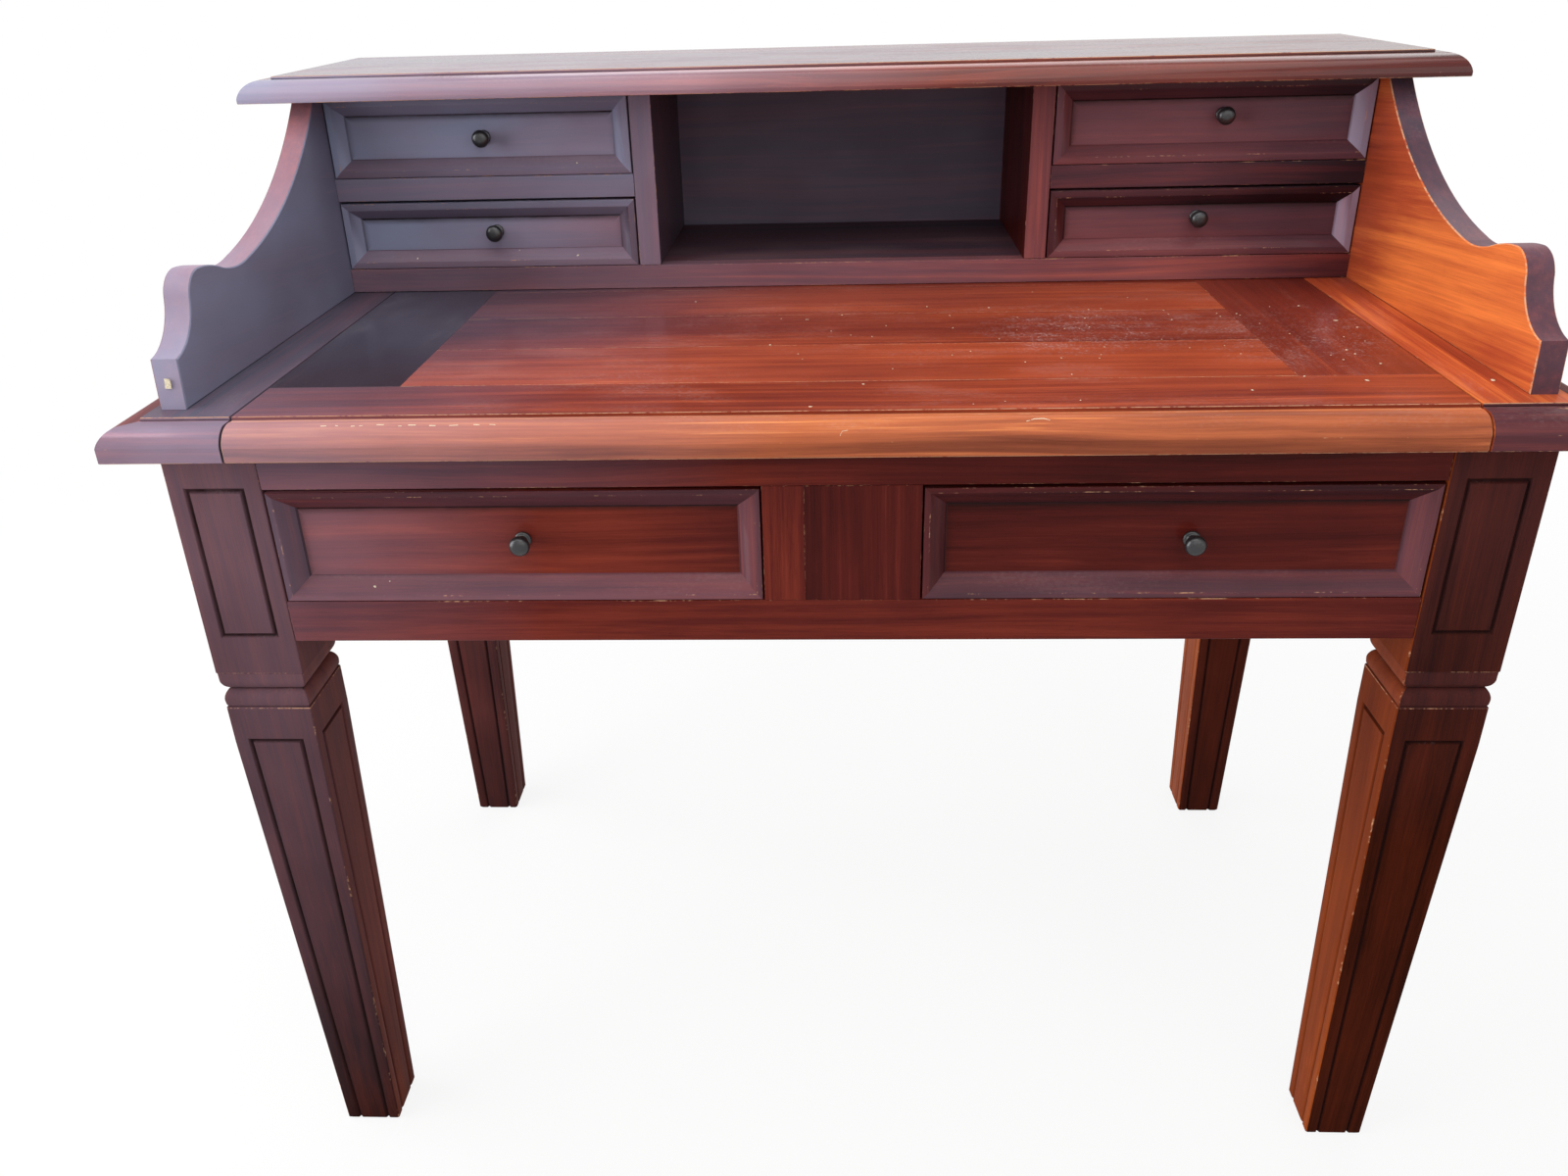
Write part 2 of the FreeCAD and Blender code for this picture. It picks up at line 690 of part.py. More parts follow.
def cabinet():
    """Gallery sides and what they hold: rails, floor, partitions, back and shelf."""
    for side, side_name in ((LEFT, "left"), (RIGHT, "right")):
        low = span(side, gallery_inner_x, gallery_outer_x)[0]
        name = "gallery_" + side_name
        piece = extrusion(name, gallery_outline(), SIDE_VIEW, low, size["gallery_thickness"])
        keep(piece)

    between = (-gallery_inner_x, gallery_inner_x)
    face = (cabinet_y, cabinet_rail_back_y)
    inside = (cabinet_rail_back_y, cabinet_back_y)
    keep(board("cabinet_bottom_rail", between, face, (cabinet_rail_z, lower_floor_z)))
    floor_z = (lower_floor_z - size["cabinet_floor_thickness"], lower_floor_z)
    keep(board("cabinet_floor", between, inside, floor_z))
    keep(board("cabinet_back", between, (cabinet_back_y, back_y), (cabinet_rail_z, shelf_under_z)))

    runners = []
    divider_z = (lower_top_z, upper_floor_z)
    for side, side_name in ((LEFT, "left"), (RIGHT, "right")):
        upright = span(side, pigeonhole_half, small_bay_x)
        whole_depth = (cabinet_y, cabinet_back_y)
        level = (lower_floor_z, shelf_under_z)
        keep(board("cabinet_partition_" + side_name, upright, whole_depth, level))
        bay = span(side, small_bay_x, gallery_inner_x)
        keep(board("cabinet_divider_" + side_name, bay, face, divider_z))
        inner = span(side, small_bay_x, small_bay_x + size["small_runner_width"])
        outer = span(side, gallery_inner_x - size["small_runner_width"], gallery_inner_x)
        runners.append(board("small_runner_inner_" + side_name, inner, inside, divider_z))
        runners.append(board("small_runner_outer_" + side_name, outer, inside, divider_z))
    keep(group("cabinet_runners", runners))
    shelf()


def shelf():
    """The shelf: one board with a moulded edge along its front and both ends."""
    tip_x = gallery_outer_x + size["shelf_side_overhang"]
    tip_y = cabinet_y - size["shelf_front_overhang"]
    riser_y = tip_y + size["moulding_width"]
    from_side = Outline((back_y, shelf_under_z)).line((back_y, shelf_top_z))
    from_side.line((riser_y, shelf_top_z))
    moulded_edge(from_side, tip_y, 1, shelf_top_z, shelf_under_z, size["shelf_tip_height"])
    from_front = shelf_front_view(tip_x)
    beyond = size["shelf_thickness"]
    depth = back_y - tip_y + beyond * 2
    along_y = extrusion("shelf_ends", from_front, FRONT_VIEW, tip_y - beyond, depth)
    half = tip_x + beyond
    along_x = extrusion("shelf_length", from_side, SIDE_VIEW, -half, half * 2)
    keep(common("shelf", [along_y, along_x]))


def shelf_front_view(tip_x):
    """The shelf seen from the front, moulded at both ends."""
    low = shelf_top_z - size["riser_height"]
    tip_top = shelf_under_z + size["shelf_tip_height"]
    riser_x = tip_x - size["moulding_width"]
    fillet_x = riser_x + size["moulding_fillet"]
    radius = moulding_radius(tip_top, low)
    outline = Outline((tip_x, shelf_under_z)).line((tip_x, tip_top))
    outline.arc((fillet_x, low), radius, 1)
    outline.line((riser_x, low)).line((riser_x, shelf_top_z))
    outline.line((-riser_x, shelf_top_z)).line((-riser_x, low)).line((-fillet_x, low))
    outline.arc((-tip_x, tip_top), radius, 1)
    outline.line((-tip_x, shelf_under_z))
    return outline


# ---------------------------------------------------------------- drawers


def drawer_front(name, x, y, z, border):
    """A drawer front with a flat rim and a bevel that slopes back to a sunk panel.

    border begins the names of its three sizes.
    """
    blank = board(name + "_blank", x, y, z)
    sunk = doc.addObject("Part::Wedge", name + "_sunk")
    rim = size[border + "rim_width"]
    bevel = size[border + "bevel_width"]
    width = x[1] - x[0]
    height = z[1] - z[0]
    for prop, length in (
        ("Xmin", rim),
        ("Xmax", width - rim),
        ("Zmin", rim),
        ("Zmax", height - rim),
        ("X2min", rim + bevel),
        ("X2max", width - rim - bevel),
        ("Z2min", rim + bevel),
        ("Z2max", height - rim - bevel),
        ("Ymin", ZERO),
        ("Ymax", size[border + "bevel_depth"]),
    ):
        bind(sunk, prop, length)
    place(sunk, x[0], y[0], z[0])
    return keep(cut(name, blank, sunk))


def drawer_box(name, x, y, z, wall, bottom):
    """The four boards behind a drawer front: sides, back and bottom."""
    inner_x = (x[0] + wall, x[1] - wall)
    bottom_z = z[0] + size["bottom_rise"]
    bottom_top_z = bottom_z + bottom
    rear = (y[1] - wall, y[1])
    return {
        "side_left": board(name + "_side_left", (x[0], inner_x[0]), y, z),
        "side_right": board(name + "_side_right", (inner_x[1], x[1]), y, z),
        "back": board(name + "_back", inner_x, rear, (bottom_top_z, z[1])),
        "bottom": board(name + "_bottom", inner_x, y, (bottom_z, bottom_top_z)),
    }


def knob(name, x, y, z):
    """A turned knob: round foot, slim neck and flattened round head, pointing forwards."""
    body = doc.addObject("PartDesign::Body", name)
    body.Label = name
    plane = next(
        feature for feature in body.Origin.OriginFeatures if feature.Role == "XY_Plane"
    )
    sketch = body.newObject("Sketcher::SketchObject", name + "_outline")
    sketch.AttachmentSupport = [(plane, "")]
    sketch.MapMode = "FlatFace"
    rose = size["knob_rose_width"] / 2
    neck = size["knob_neck_width"] / 2
    head = size["knob_width"] / 2
    rose_end = -size["knob_rose_height"]
    head_back = size["knob_head"] - size["knob_length"]
    head_widest = head_back - size["knob_head"] * KNOB_WIDEST_SHARE
    tip = -size["knob_length"]
    outline = Outline((ZERO, ZERO))
    outline.line((ZERO, tip))
    outline.arc((head, head_widest), head * KNOB_CROWN_SHARE, 1)
    outline.arc((neck, head_back), head * KNOB_SHOULDER_SHARE, 1)
    outline.line((neck, rose_end))
    outline.line((rose, rose_end))
    outline.line((rose, ZERO))
    outline.draw(sketch)
    turned = body.newObject("PartDesign::Revolution", name + "_turned")
    turned.Profile = sketch
    turned.ReferenceAxis = (sketch, ["V_Axis"])
    turned.Angle = 360.0
    sketch.Visibility = False
    place(body, x, y, z)
    return keep(body)


def large_drawer(side, side_name):
    """A frieze drawer."""
    name = "drawer_" + side_name
    gap = size["front_gap"]
    x = span(side, centre_half + gap, leg_inner_x - gap)
    floor_z = drawer_floor_z + size["running_gap"]
    z = (floor_z, drawer_top_z - size["head_gap"])
    drawer_front(name + "_front", x, (front_y, rail_back_y), z, "")
    behind = (rail_back_y, front_y + size["drawer_depth"])
    box_z = (floor_z, z[1] - size["drawer_side_drop"])
    box = drawer_box(name, x, behind, box_z, size["drawer_side"], size["drawer_bottom"])
    keep(group(name + "_sides", [box["side_left"], box["side_right"]]))
    keep(box["back"])
    keep(box["bottom"])
    knob_x = (centre_half + leg_inner_x) / 2 * side + size["knob_shift_large_" + side_name]
    knob_z = (z[0] + z[1]) / 2 + size["knob_rise_large_" + side_name]
    knob(name + "_knob", knob_x, front_y + size["bevel_depth"], knob_z)


def small_drawer(side, side_name, level, floor, ceiling):
    """A drawer of the cabinet."""
    name = f"small_drawer_{level}_{side_name}"
    gap = size["front_gap"]
    x = span(side, small_bay_x + gap, gallery_inner_x - gap)
    floor_z = floor + size["running_gap"]
    z = (floor_z, ceiling - size["head_gap"])
    drawer_front(name + "_front", x, (cabinet_y, cabinet_rail_back_y), z, "small_")
    behind = (cabinet_rail_back_y, cabinet_y + size["small_drawer_depth"])
    box_z = (floor_z, z[1] - size["small_drawer_side_drop"])
    wall, bottom = size["small_drawer_side"], size["small_drawer_bottom"]
    box = drawer_box(name, x, behind, box_z, wall, bottom)
    keep(group(name + "_box", list(box.values())))
    shift = size[f"knob_shift_{level}_{side_name}"]
    knob_x = (small_bay_x + gallery_inner_x) / 2 * side + shift
    knob_z = (z[0] + z[1]) / 2 + size[f"knob_rise_{level}_{side_name}"]
    knob(name + "_knob", knob_x, cabinet_y + size["small_bevel_depth"], knob_z)


def drawers():
    """The two frieze drawers and the four cabinet drawers."""
    for side, side_name in ((LEFT, "left"), (RIGHT, "right")):
        large_drawer(side, side_name)
        small_drawer(side, side_name, "lower", lower_floor_z, lower_top_z)
        small_drawer(side, side_name, "upper", upper_floor_z, shelf_under_z)


# ---------------------------------------------------------------- build, check and write


def check():
    """Stop if an object failed or a sub-part has no sound shape."""
    for thing in doc.Objects:
        if "Invalid" in thing.State or "Error" in thing.State:
            raise RuntimeError(f"{thing.Name} failed: {thing.State}")
    for thing in subparts:
        shape = thing.Shape
        if shape.isNull() or not shape.isValid() or shape.Volume < LEAST_VOLUME:
            raise RuntimeError(f"{thing.Label} has no sound shape")


def write():
    """Write one file for each sub-part, named after its label."""
    os.makedirs("parts", exist_ok=True)
    for thing in subparts:
        thing.Shape.exportStep(f"parts/{thing.Label}.step")


legs()
frieze()
fixed_top()
writing_slide()
cabinet()
drawers()
doc.recompute()
check()
write()
print(len(subparts), "sub-parts")
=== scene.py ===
"""Ladies' writing desk: finished boards, mouldings, drawer fronts, knobs and varnish."""

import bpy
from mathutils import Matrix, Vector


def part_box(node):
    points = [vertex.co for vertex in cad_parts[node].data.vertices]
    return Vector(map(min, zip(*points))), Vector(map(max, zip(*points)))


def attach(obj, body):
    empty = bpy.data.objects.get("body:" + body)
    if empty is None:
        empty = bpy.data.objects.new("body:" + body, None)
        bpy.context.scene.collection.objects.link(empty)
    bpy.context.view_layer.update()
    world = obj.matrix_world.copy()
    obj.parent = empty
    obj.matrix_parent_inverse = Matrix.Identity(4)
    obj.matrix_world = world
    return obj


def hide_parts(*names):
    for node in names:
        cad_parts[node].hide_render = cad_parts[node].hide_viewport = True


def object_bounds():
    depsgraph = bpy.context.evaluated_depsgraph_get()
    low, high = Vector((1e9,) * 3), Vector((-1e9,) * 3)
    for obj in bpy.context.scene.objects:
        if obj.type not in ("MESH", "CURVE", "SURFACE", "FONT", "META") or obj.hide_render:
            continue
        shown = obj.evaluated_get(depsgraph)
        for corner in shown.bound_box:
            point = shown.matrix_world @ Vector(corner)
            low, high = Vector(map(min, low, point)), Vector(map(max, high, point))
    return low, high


bl_info = {
    "name": "Ladies' writing desk",
    "version": (1, 0, 0),
    "blender": (4, 5, 0),
    "location": "3D View > Sidebar > Desk",
    "description": "Dresses a writing desk with worked boards, turned knobs and varnish",
    "category": "Add Mesh",
}

import copy
import itertools
import math
import random

import bmesh
import bpy
from mathutils import Matrix, Vector

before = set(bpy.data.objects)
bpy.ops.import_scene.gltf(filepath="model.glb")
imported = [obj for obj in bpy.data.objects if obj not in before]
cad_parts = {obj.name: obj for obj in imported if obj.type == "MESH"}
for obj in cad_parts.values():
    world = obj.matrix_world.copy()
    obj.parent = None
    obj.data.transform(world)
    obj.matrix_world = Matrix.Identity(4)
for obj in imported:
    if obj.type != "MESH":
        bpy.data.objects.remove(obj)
CAD_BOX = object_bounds()

MM = 0.001
SIDES = ("left", "right")
LEVELS = ("lower", "upper")
DESK_WIDTH = round((CAD_BOX[1][0] - CAD_BOX[0][0]) / MM, 2)
WRITING_TOP = round(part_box("slide_boards")[1].z / MM, 2)


# ---------------------------------------------------------------- boards


def pair(value):
    """The value at the left end and at the right end."""
    return value if isinstance(value, tuple) else (value, value)


class Board:
    """One board's own timber: where its grain runs and was cut from, how light it is,
    how streaky, and how much cool glare is painted over it. Its tone holds painted light
    and shade as well as the timber's own lightness: faces turned towards the window's light
    are toned lighter, and shaded faces darker.

    Tone and glare are one number each, or two: at the desk's left end and at its right.
    A fall is (first place, last place, tone gained, glare gained): a painted gradient of
    light, shade and glare along a face. Its way is z, or y for a board given its fall
    along y. A slant turns the grain of a board along Y, in degrees."""

    RUNS = {
        "X": ((1, 0, 0), (0, 1, 0), (0, 0, 1)),
        "Y": ((0, 1, 0), (1, 0, 0), (0, 0, 1)),
        "Z": ((0, 0, 1), (1, 0, 0), (0, 1, 0)),
    }
    NO_FALL = (1.0, 0.0, 0.0, 0.0)
    cut = random.Random(7)

    def __init__(self, run, tone=0.3, streaks=1.0, glare=0.0, slant=0.0, fall=NO_FALL):
        along, across, through = (Vector(way) for way in self.RUNS[run])
        if slant:
            across, through = through, across
            turn = math.radians(slant)
            along, across = (
                along * math.cos(turn) + across * math.sin(turn),
                across * math.cos(turn) - along * math.sin(turn),
            )
        self.ways = (along, across, through)
        self.start = Vector([self.cut.uniform(-30, 30) for _ in range(3)])
        self.tone, self.streaks, self.glare = pair(tone), streaks, pair(glare)
        self.lighter = self.cut.uniform(-0.02, 0.02)
        self.fall, self.way = fall, "z"

    def stained(self, tone, glare=0.0, fall=None, way="z"):
        """The same timber with another tone, painted glare and fall: a copy that carries the
        painted light and shade of one face or part.
        """
        other = copy.copy(self)
        other.tone, other.glare = pair(tone), pair(glare)
        other.fall, other.way = fall or self.fall, way
        return other

    def nature(self, point):
        """Tone, streakiness and painted glare at a point of the desk."""
        share = min(max(point.x / DESK_WIDTH + 0.5, 0.0), 1.0)
        tone, glare = (a * (1.0 - share) + b * share for a, b in (self.tone, self.glare))
        first, last, more_tone, more_glare = self.fall
        fallen = (getattr(point, self.way) - first) / (last - first)
        return (
            tone + self.lighter + more_tone * fallen,
            self.streaks,
            glare + more_glare * fallen,
        )

    def grain(self, point):
        """The point's place in the board's timber, in metres."""
        return self.start + Vector([way.dot(point) * MM for way in self.ways])


class Piece:
    """A piece being worked, in millimetres. Each face belongs to a board, and each corner
    carries one value for rubbing and painted shading: above zero where an arris is rubbed
    pale, which also paints the glint on its edge, and below zero where painted shade
    darkens a groove, crease or hollow, with a little grime."""

    least_area = 1e-3
    largest_arris = 0.2  # of a board's thickness
    # On cut sides, a moulded row's rubbing and painted shading are scaled by this share.
    cut_side_share = 0.3  # of a moulded side's wear

    def __init__(self, name):
        self.name = name
        self.points = []
        self.places = {}
        self.faces = []
        self.corners = []

    def face(self, points, board, wear_and_shading=0.0):
        """One face; corners at the same place are shared, and a face too thin is left out."""
        worn_and_shading = wear_and_shading if isinstance(wear_and_shading, (list, tuple)) else [wear_and_shading] * len(points)
        kept = []
        for point, rub_and_shading in zip(points, worn_and_shading):
            point = Vector(point)
            key = tuple(round(v, 3) for v in point)
            place = self.places.setdefault(key, len(self.points))
            if place == len(self.points):
                self.points.append(point)
            if place not in [k[0] for k in kept]:
                kept.append((place, point, rub_and_shading))
        if len(kept) < 3:
            return
        area = Vector()
        for (_, a, _), (_, b, _) in zip(kept, kept[1:] + kept[:1]):
            area += a.cross(b)
        if area.length < self.least_area:
            return
        self.faces.append([k[0] for k in kept])
        self.corners += [(board, point, rub_and_shading) for _, point, rub_and_shading in kept]

    def strip(self, first, second, boards, wear_and_shading=(0.0, 0.0), closed=True):
        """Faces between two lines of points; boards is one, or one for each face."""
        last = len(first) if closed else len(first) - 1
        for i in range(last):
            j = (i + 1) % len(first)
            board = boards[i % len(boards)] if isinstance(boards, (list, tuple)) else boards
            self.face(
                [first[i], first[j], second[j], second[i]],
                board,
                (wear_and_shading[0], wear_and_shading[0], wear_and_shading[1], wear_and_shading[1]),
            )

    def block(self, low, high, board, arris=0.8, wear_and_shading=0.5, front=None):
        """A straight board with all its arrises taken off; its front face may be a board of its
        own, with its own tone and painted glare. It shares no corners with boards that it
        touches, so each is shaded alone."""
        self.places = {}
        arris = min([arris] + [(b - a) * self.largest_arris for a, b in zip(low, high)])

        def corner(ends, flat):
            edges = (b if end > 0 else a for end, a, b in zip(ends, low, high))
            return [
                edge if k == flat else edge - ends[k] * arris for k, edge in enumerate(edges)
            ]

        for axis in range(3):
            b, c = [k for k in range(3) if k != axis]

            def ends(s, t, u):
                signs = [0, 0, 0]
                signs[axis], signs[b], signs[c] = s, t, u
                return signs

            for s in (-1, 1):
                around = ((-1, -1), (1, -1), (1, 1), (-1, 1))
                front_glare = front if front and (axis, s) == (1, -1) else board
                self.face([corner(ends(s, t, u), axis) for t, u in around], front_glare)
            steps = ((-1, b), (-1, c), (1, c), (1, b))
            for t, u in itertools.product((-1, 1), repeat=2):
                self.face([corner(ends(s, t, u), flat) for s, flat in steps], board, wear_and_shading)
        for signs in itertools.product((-1, 1), repeat=3):
            self.face([corner(signs, k) for k in range(3)], board, wear_and_shading)

    def slab(self, outline, axis, low, high, board, arris=0.8, wear_and_shading=1.0, cut=None, flats=None):
        """A board cut to an outline of points across an axis, each (first, second, rubbing and
        painted shading); its cut edge and its two flats may each have their own tone and
        painted glare."""
        if sum(a[0] * b[1] - b[0] * a[1] for a, b in zip(outline, outline[1:] + outline[:1])) < 0:
            turned = outline[::-1]
            outline = [(*p[:2], q[2]) for p, q in zip(turned, turned[1:] + turned[:1])]
        flat = [Vector(p[:2]) for p in outline]
        drawn_in = inset(flat, arris)

        def put(points, depth):
            """The outline's points at one depth along the axis."""
            return [Vector((*p[:axis], depth, *p[axis:])) for p in points]

        outer = [put(flat, low + arris), put(flat, high - arris)]
        for depth, edge, flat_board in zip((low, high), outer, flats or (board, board)):
            rim = put(drawn_in, depth)
            self.strip(edge, rim, flat_board, (wear_and_shading, wear_and_shading))
            self.face(rim, flat_board)
        for i, point in enumerate(outline):
            j = (i + 1) % len(outline)
            self.face([outer[0][i], outer[0][j], outer[1][j], outer[1][i]], cut or board, point[2])

    def moulded(self, low, high, rows, sides, boards, top):
        """A board whose named sides are moulded and mitred, and whose others are cut
        straight; a row is (inset of moulded sides, inset of cut sides, height, rubbing and
        painted shading)."""
        order = ("front", "right", "back", "left")
        loops = []
        for moulded_in, cut_in, z, _ in rows:
            by = {side: moulded_in if side in sides else cut_in for side in order}
            x0, x1 = low[0] + by["left"], high[0] - by["right"]
            y0, y1 = low[1] + by["front"], high[1] - by["back"]
            loops.append([Vector(p) for p in ((x0, y0, z), (x1, y0, z), (x1, y1, z), (x0, y1, z))])
        self.face(loops[0], top)
        self.face(loops[-1], top)
        for loop, after, row in zip(loops, loops[1:], rows):
            for i, side in enumerate(order):
                j = (i + 1) % 4
                points = [loop[i], loop[j], after[j], after[i]]
                rub_and_shading = row[3] * (1.0 if side in sides else self.cut_side_share)
                self.face(points, boards.get(side, top), rub_and_shading)

    def loft(self, rings, board):
        """A closed shape through rings of points."""
        for ring, after in zip(rings, rings[1:]):
            self.strip(ring, after, board)
        self.face(rings[0], board)
        self.face(rings[-1], board)

    def done(self, slot, body, *nodes, kind=None, smooth=50.0):
        """Makes the mesh and its object, which rides on the body in place of the nodes. Its
        finish is of the named kind, or else the slot's usual one."""
        mesh = bpy.data.meshes.new(self.name)
        mesh.from_pydata([p * MM for p in self.points], [], self.faces)
        grain = [v for board, point, _ in self.corners for v in board.grain(point)]
        nature = [v for board, point, _ in self.corners for v in board.nature(point)]
        wear_and_shading = [rub_and_shading for _, _, rub_and_shading in self.corners]
        for name, form, part, values in (
            ("grain", "FLOAT_VECTOR", "vector", grain),
            ("nature", "FLOAT_VECTOR", "vector", nature),
            ("wear_and_shading", "FLOAT", "value", wear_and_shading),
        ):
            mesh.attributes.new(name, form, "CORNER").data.foreach_set(part, values)
        shape = bmesh.new()
        shape.from_mesh(mesh)
        bmesh.ops.recalc_face_normals(shape, faces=shape.faces)
        shape.to_mesh(mesh)
        shape.free()
        mesh.shade_smooth()
        mesh.set_sharp_from_angle(angle=math.radians(smooth))
        mesh.materials.append(material(kind or slot))
        made = bpy.data.objects.new(self.name, mesh)
        bpy.context.collection.objects.link(made)
        normals = made.modifiers.new("even normals", "WEIGHTED_NORMAL")
        normals.keep_sharp = True
        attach(made, body)
        if nodes:
            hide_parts(*nodes)
        return made


def inset(outline, by):
    """A closed outline that runs anticlockwise, drawn in."""
    made = []
    for i, point in enumerate(outline):
        a = (point - outline[i - 1]).normalized()
        b = (outline[(i + 1) % len(outline)] - point).normalized()
        first, second = Vector((-a.y, a.x)), Vector((-b.y, b.x))
        middle = (first + second).normalized()
        made.append(point + middle * (by / max(middle.dot(first), 0.3)))
    return made


def arc(start, end, radius, bulge, steps):
    """Points after start as far as end, on an arc that bulges to the left (1) or right (-1)."""
    a, b = Vector(start), Vector(end)
    half = (b - a) / 2
    left = Vector((-half.y, half.x)).normalized()
    centre = a + half - left * bulge * math.sqrt(max(radius**2 - half.length_squared, 0))
    first = math.atan2(a.y - centre.y, a.x - centre.x)
    sweep = math.atan2(b.y - centre.y, b.x - centre.x) - first
    sweep = (sweep + math.pi) % math.tau - math.pi
    return [
        (
            centre.x + radius * math.cos(first + sweep * k / steps),
            centre.y + radius * math.sin(first + sweep * k / steps),
        )
        for k in range(1, steps + 1)
    ]


def spot(node):
    """A node's lowest and highest corners in millimetres."""
    low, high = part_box(node)
    return low / MM, high / MM


def lines(node, axis):
    """The heights along one axis at which a node has corners, in millimetres."""
    return sorted({round(v.co[axis] / MM, 2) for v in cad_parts[node].data.vertices})


# ---------------------------------------------------------------- materials


def full(colour):
    """A colour with the fourth number that colour sockets take."""
    return (*colour[:3], 1.0)


class Shade:
    """An output of a material's nodes, or the bare node tree. Sums of values add Math
    nodes, and sums of vectors or of a noise's colours add Vector Math nodes."""

    def __init__(self, tree, socket=None):
        self.tree = tree
        self.socket = socket

    def node(self, kind, settings=None, values=None, output=0):
        """Adds a node: its settings, then the numbers or links of its sockets."""
        made = self.tree.nodes.new(kind)
        for name, value in (settings or {}).items():
            setattr(made, name, value)
        for name, value in (values or {}).items():
            if isinstance(value, Shade):
                self.tree.links.new(value.socket, made.inputs[name])
            else:
                made.inputs[name].default_value = value
        return Shade(self.tree, made.outputs[output] if len(made.outputs) else None)

    def _sum(self, operation, first, second):
        kind, values = "ShaderNodeMath", {0: first, 1: second}
        if self.socket.type != "VALUE":
            kind = "ShaderNodeVectorMath"
            if operation == "MULTIPLY" and not isinstance(second, (Shade, tuple)):
                operation, values = "SCALE", {0: first, "Scale": second}
        return self.node(kind, {"operation": operation}, values)

    def __add__(self, other):
        return self._sum("ADD", self, other)

    __radd__ = __add__

    def __sub__(self, other):
        return self._sum("SUBTRACT", self, other)

    def __rsub__(self, other):
        return self._sum("SUBTRACT", other, self)

    def __mul__(self, other):
        return self._sum("MULTIPLY", self, other)

    __rmul__ = __mul__

    def beside(self, output):
        """Another output of the same node."""
        return Shade(self.tree, self.socket.node.outputs[output])

    def stored(self, name, output="Vector"):
        """What the pieces' faces carry under this name."""
        return self.node("ShaderNodeAttribute", {"attribute_name": name}, output=output)

    def place(self):
        """The place in the desk, in metres."""
        return self.node("ShaderNodeTexCoord", output="Object")

    def distance(self, centre):
        """How far this place is from another, in metres."""
        return self.node(
            "ShaderNodeVectorMath", {"operation": "DISTANCE"}, {0: self, 1: centre}, "Value"
        )

    def noise(self, stretch, detail=2.0, rough=0.5):
        """Cloudy noise about zero at this place, stretched along, across and through."""
        values = {"Vector": self * stretch, "Scale": 1.0, "Detail": detail, "Roughness": rough}
        return self.node("ShaderNodeTexNoise", {}, values) - 0.5

    def limit(self, low, high):
        """Nothing at low, everything at high and a smooth rise between."""
        return self.node(
            "ShaderNodeMapRange",
            {"interpolation_type": "SMOOTHSTEP"},
            {"Value": self, "From Min": low, "From Max": high},
        )

    def mixed(self, first, second):
        """Two colours mixed, with as much of the second as this value says."""
        return self.node(
            "ShaderNodeMix", {"data_type": "RGBA"}, {0: self, 6: first, 7: second}, 2
        )

    def over(self, colour, mask):
        """This colour with another laid over it as far as the mask says."""
        return mask.mixed(self, full(colour))

    def ramp(self, stops):
        """The colour for this value; a stop is (value, colour)."""
        made = self.node("ShaderNodeValToRGB", {}, {"Fac": self}, "Color")
        elements = made.socket.node.color_ramp.elements
        for value, _ in stops[1:-1]:
            elements.new(value)
        for element, (value, colour) in zip(elements, stops):
            element.position, element.color = value, full(colour)
        return made

    def relief(self, strength, distance):
        """The normals of a surface whose height is this value."""
        values = {"Strength": strength, "Distance": distance, "Height": self}
        return self.node("ShaderNodeBump", {}, values, "Normal")


def fresh(name):
    """An empty material and its Shade to start from."""
    made = bpy.data.materials.new(name)
    made.use_nodes = True
    made.node_tree.nodes.clear()
    return made, Shade(made.node_tree)


def surface(start, values):
    """Ends a material in one Principled shader."""
    shader = start.node("ShaderNodeBsdfPrincipled", {}, values)
    start.node("ShaderNodeOutputMaterial", {}, {"Surface": shader})


# How far the faded ramp's colours, from the darkest, have gone towards the faded colour.
FADING = (0.03, 0.06, 0.12, 0.20, 0.42)
# Smears in the dust on level boards: x and y in metres, reach and strength.
SMEARS = (
    (0.215, -0.085, 0.12, 0.36), (0.40, -0.10, 0.17, 0.26), (0.06, -0.05, 0.24, 0.10),
    (-0.16, -0.22, 0.10, 0.12),
)
# Corners of the desk where painted shade darkens the boards: x, y and z in metres, reach,
# and the tone and painted glare gained there. Only dusty boards take the second.
SHADED_CORNERS = ((0.50, 0.13, 0.86, 0.19, -0.20, -0.04), (-0.48, 0.12, 0.80, 0.50, -0.42, 0.15))


def timber(kind, tints):
    """The colours of a mahogany from its darkest streaks to its lightest."""
    colours = (tints.darkest, tints.dark, tints.middle, tints.light, tints.lightest)
    if kind == "faded_mahogany":
        return [
            [dark * (1.0 - share) + faded * share for dark, faded in zip(colour, tints.faded)]
            for colour, share in zip(colours, FADING)
        ]
    if kind == "satin_mahogany":
        return [(red, green * 1.25, blue * 0.55) for red, green, blue in colours]
    return colours


